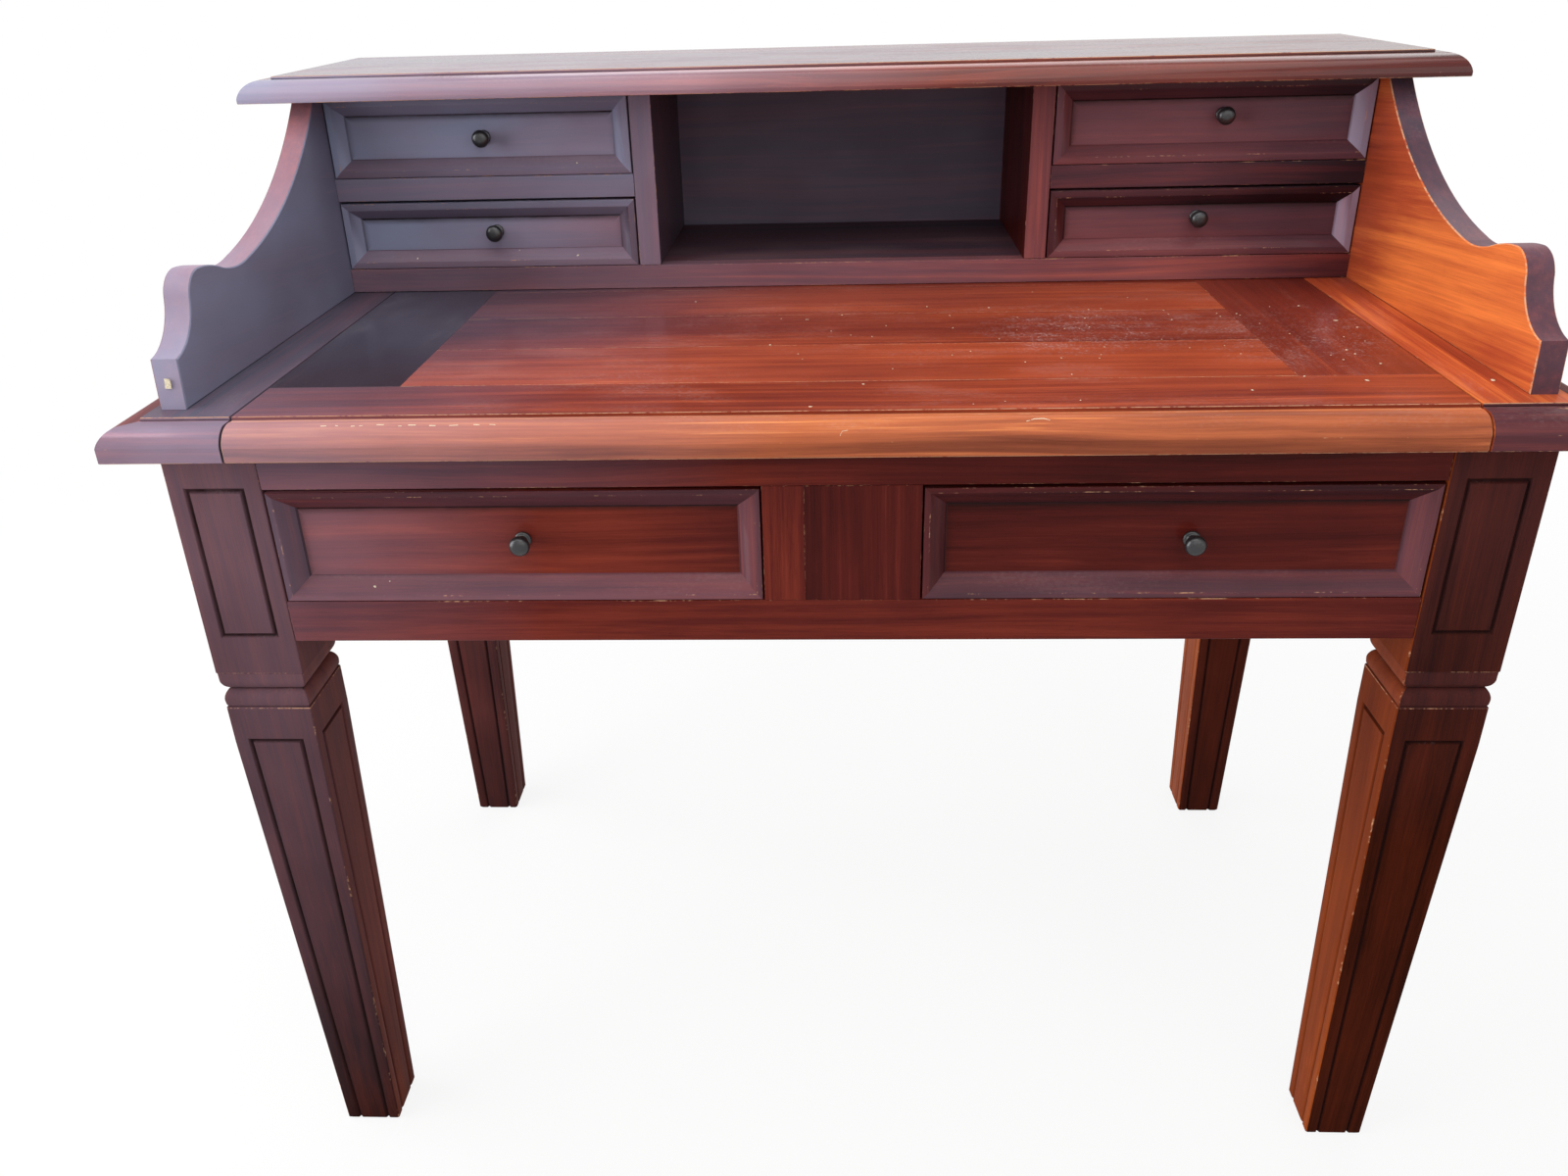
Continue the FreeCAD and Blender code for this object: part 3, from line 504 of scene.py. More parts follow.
def varnished(name, tints, coat=0.10, rough=0.42, dusty=False, hairlines=0.10, shine=0.02):
    """Stained and varnished mahogany: streaks, fibres and pores along each board's grain,
    blotchy staining, pale rubbed arrises that also paint their glints, painted shade in
    grooves, creases, hollows and corners of the desk, and a cool painted glare."""
    made, start = fresh(name)
    grain, wear_and_shading = start.stored("grain"), start.stored("wear_and_shading", "Fac")
    tone = start.node("ShaderNodeSeparateXYZ", {}, {0: start.stored("nature")})
    streaks, glare = tone.beside(1), tone.beside(2)
    place = start.place()
    # Painted shade: the boards darken near the shaded corners, and the left one also takes more
    # painted glare.
    for x, y, z, reach, more_tone, more_glare in SHADED_CORNERS if dusty else SHADED_CORNERS[:1]:
        corner_shade = 1.0 - place.distance((x, y, z)).limit(reach * 0.2, reach)
        tone = tone + corner_shade * more_tone
        glare = glare + corner_shade * more_glare
    glare = start.node("ShaderNodeMath", {"operation": "MAXIMUM"}, {0: glare, 1: 0.0})

    sway = start.node(
        "ShaderNodeTexNoise", {}, {"Vector": grain * (2.5, 7.0, 7.0), "Scale": 1.0, "Detail": 1.0},
        "Color",
    )
    swayed = grain + sway * (0.0, 0.022, 0.022)
    broad = swayed.noise((1.6, 26.0, 26.0))
    streak = swayed.noise((3.2, 135.0, 135.0), 4.0, 0.62)
    fibre = swayed.noise((16.0, 1000.0, 1000.0), 2.0, 0.6)
    hairline = swayed.noise((0.9, 240.0, 240.0), 1.0).limit(0.10, 0.24)
    pore = grain.noise((110.0, 2400.0, 2400.0), 1.0).limit(0.10, 0.2)
    blotch = grain.noise((4.5, 8.0, 8.0), 3.0, 0.55)
    cloud = grain.noise((11.0, 30.0, 30.0))
    depth = (
        tone
        + (streak * 0.75 + broad * 0.55) * streaks
        + fibre * 0.16
        + blotch * 0.34
        + cloud * 0.08
        - pore * 0.035
        + hairline * hairlines * streaks
    )
    colour = depth.ramp([(k / 4, colour) for k, colour in enumerate(timber(name, tints))])
    # A cool glare painted over the boards, in patches, stands in for window glare and reflections
    # on the varnish.
    colour = colour.over(tints.glare, glare * (blotch * 1.2 + 1.0))

    patch = grain.noise((28.0, 60.0, 60.0), 3.0, 0.65)
    speck = grain.noise((260.0, 420.0, 420.0), 2.0, 0.6)
    # Pale rubbed arrises, which also paint the glint on each edge, and painted shade in grooves,
    # creases and hollows, with a little grime.
    rubbed = wear_and_shading.limit(0.05, 0.25) * (wear_and_shading + (patch + speck * 0.7) * 1.7).limit(0.55, 0.95)
    stained = (wear_and_shading * -1.0).limit(0.0, 1.0) * (0.85 + patch)
    colour = colour.over(tints.worn_and_shading, rubbed * 0.85)
    colour = colour.over(tints.hollow_shade, stained * 0.9)

    normal = start.node("ShaderNodeNewGeometry", output="Normal")
    up = start.node("ShaderNodeSeparateXYZ", {}, {0: normal}, "Z")
    dust = up.limit(0.3, 0.8) * (blotch + speck * 0.8 + cloud).limit(-0.02, 0.3) * 0.13
    gloss_loss = dust * 2.0
    if dusty:
        film = None
        for x, y, reach, amount in SMEARS:
            away = (place * (1.0, 1.0, 0.0)).distance((x, y, 0.0))
            near = (1.0 - away.limit(reach * 0.25, reach)) * amount
            film = near if film is None else film + near
        smear = place.noise((38.0, 60.0, 20.0), 5.0, 0.75)
        grit = place.noise((420.0, 420.0, 20.0), 2.0, 0.7)
        film = film * (smear * 0.7 + grit).limit(-0.08, 0.30)
        dust = dust + film
        gloss_loss = gloss_loss + film * 0.6
    colour = colour.over(tints.dust, dust.limit(0.0, 1.0))

    roughness = (
        rough + blotch * 0.22 + speck * 0.10 + rubbed * 0.22 + stained * 0.25 + gloss_loss * 0.5
    )
    height = fibre * 0.35 + streak * 0.55 + cloud * 1.6 - pore * 0.45 - rubbed * 0.5
    surface(
        start,
        {
            "Base Color": colour,
            "Roughness": roughness,
            "Normal": height.relief(0.32, 0.0004),
            "Coat Weight": coat - (rubbed * 0.5 + stained * 0.4 + gloss_loss * 0.6) * coat,
            "Coat Roughness": 0.14,
            "Specular IOR Level": shine,
        },
    )
    return made


def bare_wood(name, pale, dark):
    """Plain planed hardwood of the hidden pieces."""
    made, start = fresh(name)
    grain, wear_and_shading = start.stored("grain"), start.stored("wear_and_shading", "Fac")
    streak = grain.noise((4.0, 120.0, 120.0), 4.0, 0.6)
    fibre = grain.noise((25.0, 1200.0, 1200.0))
    blotch = grain.noise((6.0, 9.0, 9.0), 3.0)
    depth = 0.5 + streak * 1.1 + fibre * 0.5 + blotch * 0.7 + wear_and_shading * 0.12
    surface(
        start,
        {
            "Base Color": depth.ramp([(0.1, dark), (0.9, pale)]),
            "Roughness": 0.62 + blotch * 0.3 + fibre * 0.2,
            "Normal": (fibre + streak * 0.6).relief(0.4, 0.0004),
        },
    )
    return made


def bronzed(name, dark, bright):
    """Dark bronzed metal, rubbed a little brighter in patches."""
    made, start = fresh(name)
    patch = start.place().noise((90.0, 90.0, 90.0), 4.0, 0.6)
    speck = start.place().noise((900.0, 900.0, 900.0))
    rubbed = (patch + speck * 0.5).limit(0.02, 0.22)
    surface(
        start,
        {
            "Base Color": (rubbed * 0.6).mixed(full(dark), full(bright)),
            "Metallic": 0.55 + rubbed * 0.3,
            "Roughness": 0.34 + patch * 0.3 + speck * 0.15,
            "Normal": (patch + speck * 0.4).relief(0.25, 0.0003),
            "Coat Weight": 0.3 + speck * 0.3,
            "Coat Roughness": 0.2,
        },
    )
    return made


def chalky(name, pale):
    """Pale filler, bare wood dust and chips."""
    made, start = fresh(name)
    patch = start.place().noise((700.0, 700.0, 700.0), 3.0, 0.6)
    darker = [part * 0.72 for part in pale[:3]]
    surface(
        start,
        {
            "Base Color": patch.limit(-0.1, 0.2).mixed(full(darker), full(pale)),
            "Roughness": 0.7 + patch * 0.2,
            "Normal": patch.relief(0.3, 0.0002),
        },
    )
    return made


# The usual finish of each slot, and how each varnished mahogany differs from the plain one.
FINISHES = {
    "mahogany": "varnished_mahogany",
    "light_mahogany": "varnished_mahogany",
    "inner_wood": "planed_hardwood",
    "knob_metal": "bronzed_metal",
}
VARNISHES = {
    "varnished_mahogany": {},
    "faded_mahogany": {"coat": 0.08, "hairlines": 0.2},
    "dusty_mahogany": {"coat": 0.42, "rough": 0.36, "dusty": True, "hairlines": 0.14},
    "satin_mahogany": {"coat": 0.01, "rough": 0.5, "shine": 0.009},
    "polished_mahogany": {"coat": 0.6, "rough": 0.3},
}


def material(kind):
    """The named finish, or a slot's usual one, made on its first use."""
    kind = FINISHES.get(kind, kind)
    if kind in bpy.data.materials:
        return bpy.data.materials[kind]
    tints = bpy.context.scene.desk_colours
    if kind in VARNISHES:
        return varnished(kind, tints, **VARNISHES[kind])
    if kind == "planed_hardwood":
        return bare_wood(kind, tints.inner_pale, tints.inner_dark)
    if kind == "bronzed_metal":
        return bronzed(kind, tints.metal, tints.metal_rubbed)
    return chalky(kind, tints.filler)


# ---------------------------------------------------------------- shared work


def plain_board(
    node, name, board, slot="mahogany", body="carcase", kind=None, arris=None, wear_and_shading=0.5, front=None
):
    """A straight board in place of a node that is one box."""
    low, high = spot(node)
    piece = Piece(name)
    piece.block(low, high, board, arris or bpy.context.scene.desk_sizes.arris / MM, wear_and_shading, front)
    return piece.done(slot, body, node, kind=kind)


def sticks(node, name, run="Y", body="carcase"):
    """Straight pieces of hidden wood in place of a node's separate solids."""
    piece = Piece(name)
    for low, high in loose_boxes(node):
        piece.block(low, high, Board(run, 0.5), 0.5, 0.4)
    return piece.done("inner_wood", body, node)


def loose_boxes(node):
    """The lowest and highest corners of each separate solid of a node, in millimetres."""
    same_place = 2e-6
    shape = bmesh.new()
    shape.from_mesh(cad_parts[node].data)
    bmesh.ops.remove_doubles(shape, verts=shape.verts, dist=same_place)
    left, boxes = set(shape.verts), []
    while left:
        reach = [min(left, key=lambda v: tuple(v.co))]
        left.discard(reach[0])
        for vert in reach:
            for edge in vert.link_edges:
                other = edge.other_vert(vert)
                if other in left:
                    left.discard(other)
                    reach.append(other)
        boxes.append([[pick(v.co[k] for v in reach) / MM for k in range(3)] for pick in (min, max)])
    shape.free()
    return boxes


TIP_HEIGHT = 12.0  # of the tip of the top's moulding, over its underside
ROUND = 0.52  # radius of a moulding's round, as a share of its width and height together


def moulding(top_z, under_z, tip_height, sizes):
    """Rows of the worked edge from the riser's arris down to the underside."""
    riser, low = sizes.riser_inset / MM, top_z - sizes.riser_height / MM
    fillet = riser - sizes.fillet / MM
    tip_top = under_z + tip_height
    radius = ROUND * (fillet + low - tip_top)
    # The last number of each row is its rubbing and painted shading: the arrises are rubbed pale
    # and paint their glints, and the riser is painted dark, in shade.
    rows = [
        (riser + 0.5, 0.4, top_z, 1.0),
        (riser, 0.0, top_z - 0.5, 0.0),
        (riser, 0.0, low + 0.6, -0.9),
        (riser, 0.0, low, -0.9),
        (riser - 0.8, 0.0, low, 0.0),
        (fillet + 0.3, 0.0, low, 0.35),
    ]
    bend = arc((fillet, low), (0.0, tip_top), radius, -1, 10)
    rows += [(max(x, 0.0), 0.0, min(z, low), 0.0) for x, z in bend[:-1]]
    rows += [
        (0.05, 0.0, tip_top + 0.4, 0.3),
        (0.0, 0.0, tip_top - 0.4, 0.0),
        (0.0, 0.0, under_z + 0.6, 0.8),
        (0.6, 0.4, under_z, 0.0),
    ]
    return rows


def rail_outline(low, high, sizes):
    """The front rail's cut end: step, fillet, round, tip and flat underside."""
    fillet = (sizes.riser_inset - sizes.fillet) / MM
    step, foot = low.y + sizes.riser_inset / MM, WRITING_TOP - sizes.riser_height / MM
    tip = low.z + TIP_HEIGHT
    bend = arc((fillet, foot), (0.0, tip), ROUND * (fillet + foot - tip), -1, 12)
    # The last number of each point is its rubbing and painted shading: the arrises are rubbed pale
    # and paint their glints, and the riser and the face under the tip are painted dark, in shade.
    return [
        (step, foot, -0.8), (step - 1.0, foot, 0.0), (low.y + fillet + 0.4, foot, 0.8),
        (low.y + fillet, foot, 0.5),
        *[(low.y + max(x, 0.0), z, 0.0) for x, z in bend[:-1]],
        (low.y + 0.05, tip + 0.5, 0.3), (low.y, tip - 0.4, -0.25), (low.y, tip - 1.4, -0.22),
        (low.y, low.z + 0.7, 0.9), (low.y + 0.7, low.z, 0.0), (high.y, low.z, 0.0),
    ]


# ---------------------------------------------------------------- settings


def measure(name, usual, least, most, description):
    """A length setting, in metres."""
    return bpy.props.FloatProperty(
        name=name, description=description, default=usual, min=least, max=most, precision=4,
        unit="LENGTH",
    )


class DeskSizes(bpy.types.PropertyGroup):
    """Sizes of the worked edges."""

    arris: measure("Arris", 0.0006, 0.0001, 0.003, "Width taken off straight boards' edges")
    groove_width: measure(
        "Groove width", 0.0048, 0.001, 0.005, "Width of the cut lines round the legs' panels"
    )
    groove_depth: measure(
        "Groove depth", 0.0026, 0.0005, 0.004, "Depth of the cut lines round the legs' panels"
    )
    riser_inset: measure(
        "Moulding width", 0.026, 0.02, 0.03, "From a moulded edge's tip in to its riser"
    )
    riser_height: measure(
        "Riser height", 0.0025, 0.001, 0.004, "Height of the small step above a moulding"
    )
    fillet: measure(
        "Fillet", 0.004, 0.002, 0.006, "Flat between the riser and the round of a moulding"
    )


def tint(name, colour, description):
    """A colour setting."""
    return bpy.props.FloatVectorProperty(
        name=name, description=description, subtype="COLOR", size=3, default=colour,
        min=0.0, max=1.0,
    )


class DeskColours(bpy.types.PropertyGroup):
    """Colours of the timber, its varnish and the knobs."""

    darkest: tint("Darkest", (0.020, 0.0030, 0.0028), "Darkest streaks of the mahogany")
    dark: tint("Dark", (0.085, 0.0105, 0.0080), "Dark boards of the mahogany")
    middle: tint("Middle", (0.20, 0.030, 0.016), "Middling boards of the mahogany")
    light: tint("Light", (0.42, 0.075, 0.028), "Light boards of the mahogany")
    lightest: tint("Lightest", (0.80, 0.215, 0.052), "Lightest streaks of the mahogany")
    faded: tint("Faded", (0.66, 0.33, 0.145), "What the front rail has faded towards")
    # Pale rubbed wood, which also paints the glint on an arris.
    worn_and_shading: tint("Worn edge", (0.56, 0.31, 0.18), "Wood that shows where arrises are rubbed")
    # Painted shade in grooves, creases and hollows, with a little grime.
    hollow_shade: tint("Hollows", (0.016, 0.007, 0.007), "Stain gathered in grooves and hollows")
    dust: tint("Dust", (0.62, 0.54, 0.54), "Film of dust on level surfaces")
    # A cool haze painted over boards in place of window glare and reflections.
    glare: tint("Glare", (0.27, 0.31, 0.45), "Cool haze of glaring varnish")
    inner_pale: tint("Inner pale", (0.46, 0.30, 0.17), "Pale wood of the hidden pieces")
    inner_dark: tint("Inner dark", (0.25, 0.14, 0.075), "Dark wood of the hidden pieces")
    metal: tint("Knob metal", (0.030, 0.030, 0.033), "Bronzed metal of the knobs")
    metal_rubbed: tint("Knob rubbed", (0.12, 0.11, 0.105), "Metal where a knob is rubbed")
    filler: tint("Filler", (0.82, 0.72, 0.52), "Filler, chips and specks")


# ---------------------------------------------------------------- legs


class DESK_OT_legs(bpy.types.Operator):
    """Make the four legs with their moulded collars and cut panels"""

    bl_idname = "desk.legs"
    bl_label = "Legs"

    # Painted light and shade for the front, right, back and left of each leg: tone and
    # painted glare at its top, and how much of each it gains down to the floor. Faces turned
    # towards the window's light are toned lighter and the others darker.
    painted_light = {
        "front_left": ((0.30, 0.18, -0.28, -0.17), (0.31, 0.12, -0.01, -0.10),
                       (0.24, 0.06, -0.05, -0.06), (0.26, 0.06, -0.05, -0.06)),
        "front_right": ((0.14, 0.03, -0.11, -0.06), (0.24, 0.0, 0.0, 0.0),
                        (0.22, 0.0, 0.0, 0.0), (0.42, 0.0, 0.07, 0.0)),
        "rear_left": ((0.20, 0.06, -0.03, -0.03), (0.26, 0.06, 0.0, -0.03),
                      (0.24, 0.0, 0.0, 0.0), (0.26, 0.0, 0.0, 0.0)),
        "rear_right": ((0.18, 0.01, 0.0, 0.0), (0.26, 0.0, 0.0, 0.0),
                       (0.24, 0.0, 0.0, 0.0), (0.63, 0.03, 0.0, 0.0)),
    }

    # Half widths of a leg in millimetres, and the arris off its corners.
    block, shaft, waist, foot, arris = 38.0, 37.0, 32.0, 27.0, 1.1
    # Heights in millimetres: the leg's top, its block's underside, the start of its taper
    # and the trim round its foot.
    leg_top, block_under, bend, trim = 740.0, 551.0, 480.0, 3.0
    # The cut panels: how far in from the block's, the upper shaft's and the foot's edges,
    # and their lowest and highest heights.
    block_in, shaft_in, foot_in = 13.2, 12.0, 10.0
    block_panel, shaft_panel_top = (585.0, 720.0), 484.0
    sole_in = 2.2  # how far the foot's sides draw in at the floor

    def execute(self, context):
        for end, first_panel in (("front", 0), ("rear", 2)):
            for side, second_panel in (("left", 3), ("right", 1)):
                node = f"leg_{end}_{side}"
                leg = Board("Z", 0.25, 0.35)
                boards = [
                    leg.stained(tone, glare, (self.leg_top, 0.0, more_tone, more_glare))
                    for tone, glare, more_tone, more_glare in self.painted_light[f"{end}_{side}"]
                ]
                piece = Piece(f"{end}_{side}_leg")
                self.shape(piece, node, (first_panel, second_panel), boards)
                piece.done("mahogany", "carcase", node, kind="satin_mahogany")
        return {"FINISHED"}

    def shape(self, piece, node, panels, boards):
        """Block, collar and tapered shaft; the panels are the faces of the block cut with one."""
        low, high = spot(node)
        middle = (low + high) / 2
        sizes = bpy.context.scene.desk_sizes
        width, sunk = sizes.groove_width / MM, sizes.groove_depth / MM
        # How far in from a cut line's outer side, and how deep, its four edges lie.
        cuts = ((0.0, 0.0), (width * 0.42, sunk), (width * 0.58, sunk), (width, 0.0))
        block, shaft, waist, foot, arris = (
            self.block, self.shaft, self.waist, self.foot, self.arris
        )

        def put(face, u, out, z):
            """A point of a face: along it, out from the leg's middle, and its height."""
            turn = face * math.pi / 2
            return Vector((
                middle.x + u * math.cos(turn) + out * math.sin(turn),
                middle.y + u * math.sin(turn) - out * math.cos(turn),
                z,
            ))

        def side(face, z0, half0, z1, half1, board, wear_and_shading=0.0):
            """A face between two heights, with the half width of the leg at each."""
            a, b = half0 - arris, half1 - arris
            points = [put(face, -a, half0, z0), put(face, a, half0, z0),
                      put(face, b, half1, z1), put(face, -b, half1, z1)]
            piece.face(points, board, wear_and_shading)

        def corner(face, z0, half0, z1, half1, board, wear_and_shading):
            """The arris between this face and the next one."""
            after, a, b = (face + 1) % 4, half0 - arris, half1 - arris
            points = [put(face, a, half0, z0), put(after, -a, half0, z0),
                      put(after, -b, half1, z1), put(face, b, half1, z1)]
            piece.face(points, board, wear_and_shading)

        def worn_and_shading(before, deep):
            """The painted shade at the two edges of one side of a cut line: dark where the line is
            sunk.
            """
            return tuple(-1.0 if sunken else 0.0 for sunken in (before, deep))

        edge = block - arris
        top = [put(face, u, block, high.z) for face in range(4) for u in (-edge, edge)]
        piece.face(top, boards[1])
        for face, board in enumerate(boards):
            if face in panels:
                outer = [(-edge, high.z), (edge, high.z),
                         (edge, self.block_under), (-edge, self.block_under)]
                lowest, highest = self.block_panel
                previous, before = outer, 0.0
                for inward, deep in cuts:
                    u = block - self.block_in - inward
                    under, over = lowest + inward, highest - inward
                    loop = [(-u, over), (u, over), (u, under), (-u, under)]
                    piece.strip(
                        [put(face, p, block - before, z) for p, z in previous],
                        [put(face, p, block - deep, z) for p, z in loop],
                        board, worn_and_shading(before, deep),
                    )
                    previous, before = loop, deep
                piece.face([put(face, p, block, z) for p, z in previous], board)
            else:
                side(face, high.z, block, self.block_under, block, board)
            corner(face, high.z, block, self.block_under, block, board, 0.42)

        # Down the collar: height, half width, and the rubbing and painted shading above and
        # below each band: glints painted on its arrises and shade painted in its quirks.
        plain = (0.0, 0.0)
        hollow = arc((block - 0.8, 544.0), (waist, 533.4), 11.5, 1, 8)[:-1]
        bead = arc((waist + 0.3, 532.8), (shaft - 0.1, 521.5), 13.0, 1, 8)
        levels = [
            (self.block_under, block, (0.7, 0.7)), (550.2, block - 0.7, (-0.6, 0.0)),
            (549.4, block - 0.7, plain), (544.0, block - 0.8, plain),
            *[(z, half, plain) for half, z in hollow],
            (533.4, waist, (-0.9, -0.9)), (532.8, waist, (-0.5, 0.0)),
            *[(z, half, plain) for half, z in bead],
            (518.4, shaft - 0.4, (0.0, -0.3)), (517.0, shaft - 1.2, (-0.5, -0.8)),
            (516.3, shaft - 0.6, (-0.6, 0.0)), (515.7, shaft, (0.7, 0.7)), (514.9, shaft, plain),
        ]
        # The collar is painted a little lighter, with a little more glare, for the light it
        # catches.
        collar = [board.stained(board.tone[0] + 0.05, board.glare[0] + 0.02) for board in boards]
        for (z0, half0, wear_and_shading), (z1, half1, _) in zip(levels, levels[1:]):
            for face, board in enumerate(collar):
                side(face, z0, half0, z1, half1, board, (wear_and_shading[0], wear_and_shading[0], wear_and_shading[1], wear_and_shading[1]))
                rub_and_shading = 0.45 if wear_and_shading == plain else wear_and_shading[0]
                corner(face, z0, half0, z1, half1, board, rub_and_shading)

        shaft_top, bend, trim = levels[-1][0], self.bend, self.trim
        sole = foot - self.sole_in
        trim_half = foot + (shaft - foot) * trim / bend
        # Each line round the shaft's panel: its half widths where the taper starts, at the
        # trim and at the sole, its top and its depth.
        rings = [(shaft - arris, trim_half - arris, sole - arris, shaft_top, 0.0)]
        for inward, deep in cuts:
            above, below = shaft - self.shaft_in - inward, foot - self.foot_in - inward
            rings.append((above, below, below, self.shaft_panel_top - inward, deep))
        for face, board in enumerate(boards):
            previous, before = None, 0.0
            for a, b, c, z, deep in rings:
                line = [
                    put(face, -c, sole - deep, low.z), put(face, -b, trim_half - deep, trim),
                    put(face, -a, shaft - deep, bend), put(face, -a, shaft - deep, z),
                    put(face, a, shaft - deep, z), put(face, a, shaft - deep, bend),
                    put(face, b, trim_half - deep, trim), put(face, c, sole - deep, low.z),
                ]
                if previous:
                    piece.strip(previous, line, board, worn_and_shading(before, deep), closed=False)
                previous, before = line, deep
            piece.face(previous[2:6], board)
            piece.face([previous[k] for k in (1, 2, 5, 6)], board)
            piece.face([previous[k] for k in (0, 1, 6, 7)], board, 0.3)
            runs = ((shaft_top, shaft), (bend, shaft), (trim, trim_half), (low.z, sole))
            for (z0, half0), (z1, half1) in zip(runs, runs[1:]):
                corner(face, z0, half0, z1, half1, board, 0.4)
        rim = [(-c, deep) for _, _, c, _, deep in rings]
        rim += [(-u, deep) for u, deep in reversed(rim)]
        outline = [put(face, u, sole - deep, low.z) for face in range(4) for u, deep in rim]
        piece.face(outline, boards[3])


# ---------------------------------------------------------------- frieze


class DESK_OT_frieze(bpy.types.Operator):
    """Make the rails, centre boards and aprons, and the hidden runners inside them"""

    bl_idname = "desk.frieze"
    bl_label = "Frieze"

    def execute(self, context):
        # The rails take painted glare towards the left.
        plain_board(
            "frieze_top_rail", "frieze_upper_rail", Board("X", (0.31, 0.17), 0.6, (0.30, -0.40))
        )
        plain_board(
            "frieze_bottom_rail", "frieze_lower_rail", Board("X", (0.36, 0.29), 0.6, (0.20, -0.50))
        )
        plain_board("frieze_centre_board", "centre_board", Board("Z", 0.20, 0.6), arris=0.3)
        plain_board(
            "frieze_centre_strip", "centre_strip", Board("Z", 0.31, 0.6), "light_mahogany",
            arris=0.3,
        )
        for side in SIDES:
            plain_board(f"side_apron_{side}", f"{side}_apron", Board("Y", 0.3, 1.0))
        plain_board("back_apron", "rear_apron", Board("X", 0.3, 1.0))
        plain_board("bay_partition", "bay_wall", Board("Y", 0.5), "inner_wood")
        for node, name in (
            ("drawer_runners", "runner_strips"), ("drawer_guides", "guide_strips"),
            ("drawer_kickers", "kicker_strips"), ("slide_bearers", "slide_bearer_strips"),
        ):
            sticks(node, name)
        return {"FINISHED"}


# ---------------------------------------------------------------- top


class DESK_OT_top(bpy.types.Operator):
    """Make the fixed boards beside the slide, moulded and mitred, and the rear board"""

    bl_idname = "desk.top"
    bl_label = "Fixed top"

    def execute(self, context):
        rows = None
        for side in SIDES:
            low, high = spot(f"top_side_{side}")
            rows = rows or moulding(high.z, low.z, TIP_HEIGHT, context.scene.desk_sizes)
            left = side == "left"
            # Painted light: the left board takes painted glare, and the right one is toned light
            # where the window's light falls. The left front takes painted glare too.
            tone, glare = (0.12, 0.26) if left else (0.76, 0.0)
            top = Board("Y", tone, 0.8, glare)
            piece = Piece(f"{side}_top_board")
            boards = {
                "front": Board("X", 0.47, 0.7, 0.46) if left else Board("X", 0.25, 0.7, 0.06),
                side: Board("Y", 0.34, 1.0, glare * 0.3),
                "back": Board("Y", 0.22, 0.8, -1.0),
            }
            piece.moulded(low, high, rows, ("front", side), boards, top)
            piece.done("mahogany", "carcase", f"top_side_{side}", f"top_corner_{side}")
        plain_board("top_back_board", "rear_top_board", Board("X", 0.3))
        return {"FINISHED"}


# ---------------------------------------------------------------- slide


class DESK_OT_slide(bpy.types.Operator):
    """Make the writing slide: moulded front rail, front board, clamps and centre boards"""

    bl_idname = "desk.slide"
    bl_label = "Writing slide"

    def execute(self, context):
        body, kind = "writing_slide", "dusty_mahogany"
        low, high = spot("slide_front_rail")
        outline = rail_outline(low, high, context.scene.desk_sizes)
        piece = Piece("front_rail_moulding")
        # The rail is painted darker downwards, in shade, and takes painted glare at its left end.
        rail = Board("X", (0.75, 0.65), 1.0, (0.52, -0.56), fall=(WRITING_TOP, low.z, -0.12, -0.04))
        piece.slab(outline, 0, low.x, high.x, rail, 0.8, 0.9)
        piece.done("light_mahogany", body, "slide_front_rail", kind="faded_mahogany")

        # The front board takes painted glare towards the left, and the centre boards a little.
        front = Board("X", (0.55, 0.60), 0.8, (0.34, -0.75))
        for node, name, board, arris, wear_and_shading in (
            ("front_board", "front_board", front, 0.45, 0.85),
            ("clamp_left", "left_clamp", Board("Y", 0.06, 0.6, 0.04), 0.3, 0.3),
            ("clamp_right", "right_clamp", Board("Y", 0.51, 0.35), 0.3, 0.5),
        ):
            plain_board(f"slide_{node}", name, board, "mahogany", body, kind, arris, wear_and_shading)
        low, high = spot("slide_boards")
        edges = lines("slide_boards", 1)
        piece = Piece("centre_boards")
        tones = itertools.cycle((0.68, 0.61, 0.67, 0.58, 0.62))
        for near, far, tone in zip(edges, edges[1:], tones):
            board = Board("X", (tone - 0.04, tone - 0.05), 0.5, (0.06, -0.04))
            piece.block((low.x, near, low.z), (high.x, far, high.z), board, 0.25, 0.8)
        piece.done("mahogany", body, "slide_boards", kind=kind)
        sticks("slide_stops", "stop_blocks", "X", body)
        return {"FINISHED"}


# ---------------------------------------------------------------- gallery


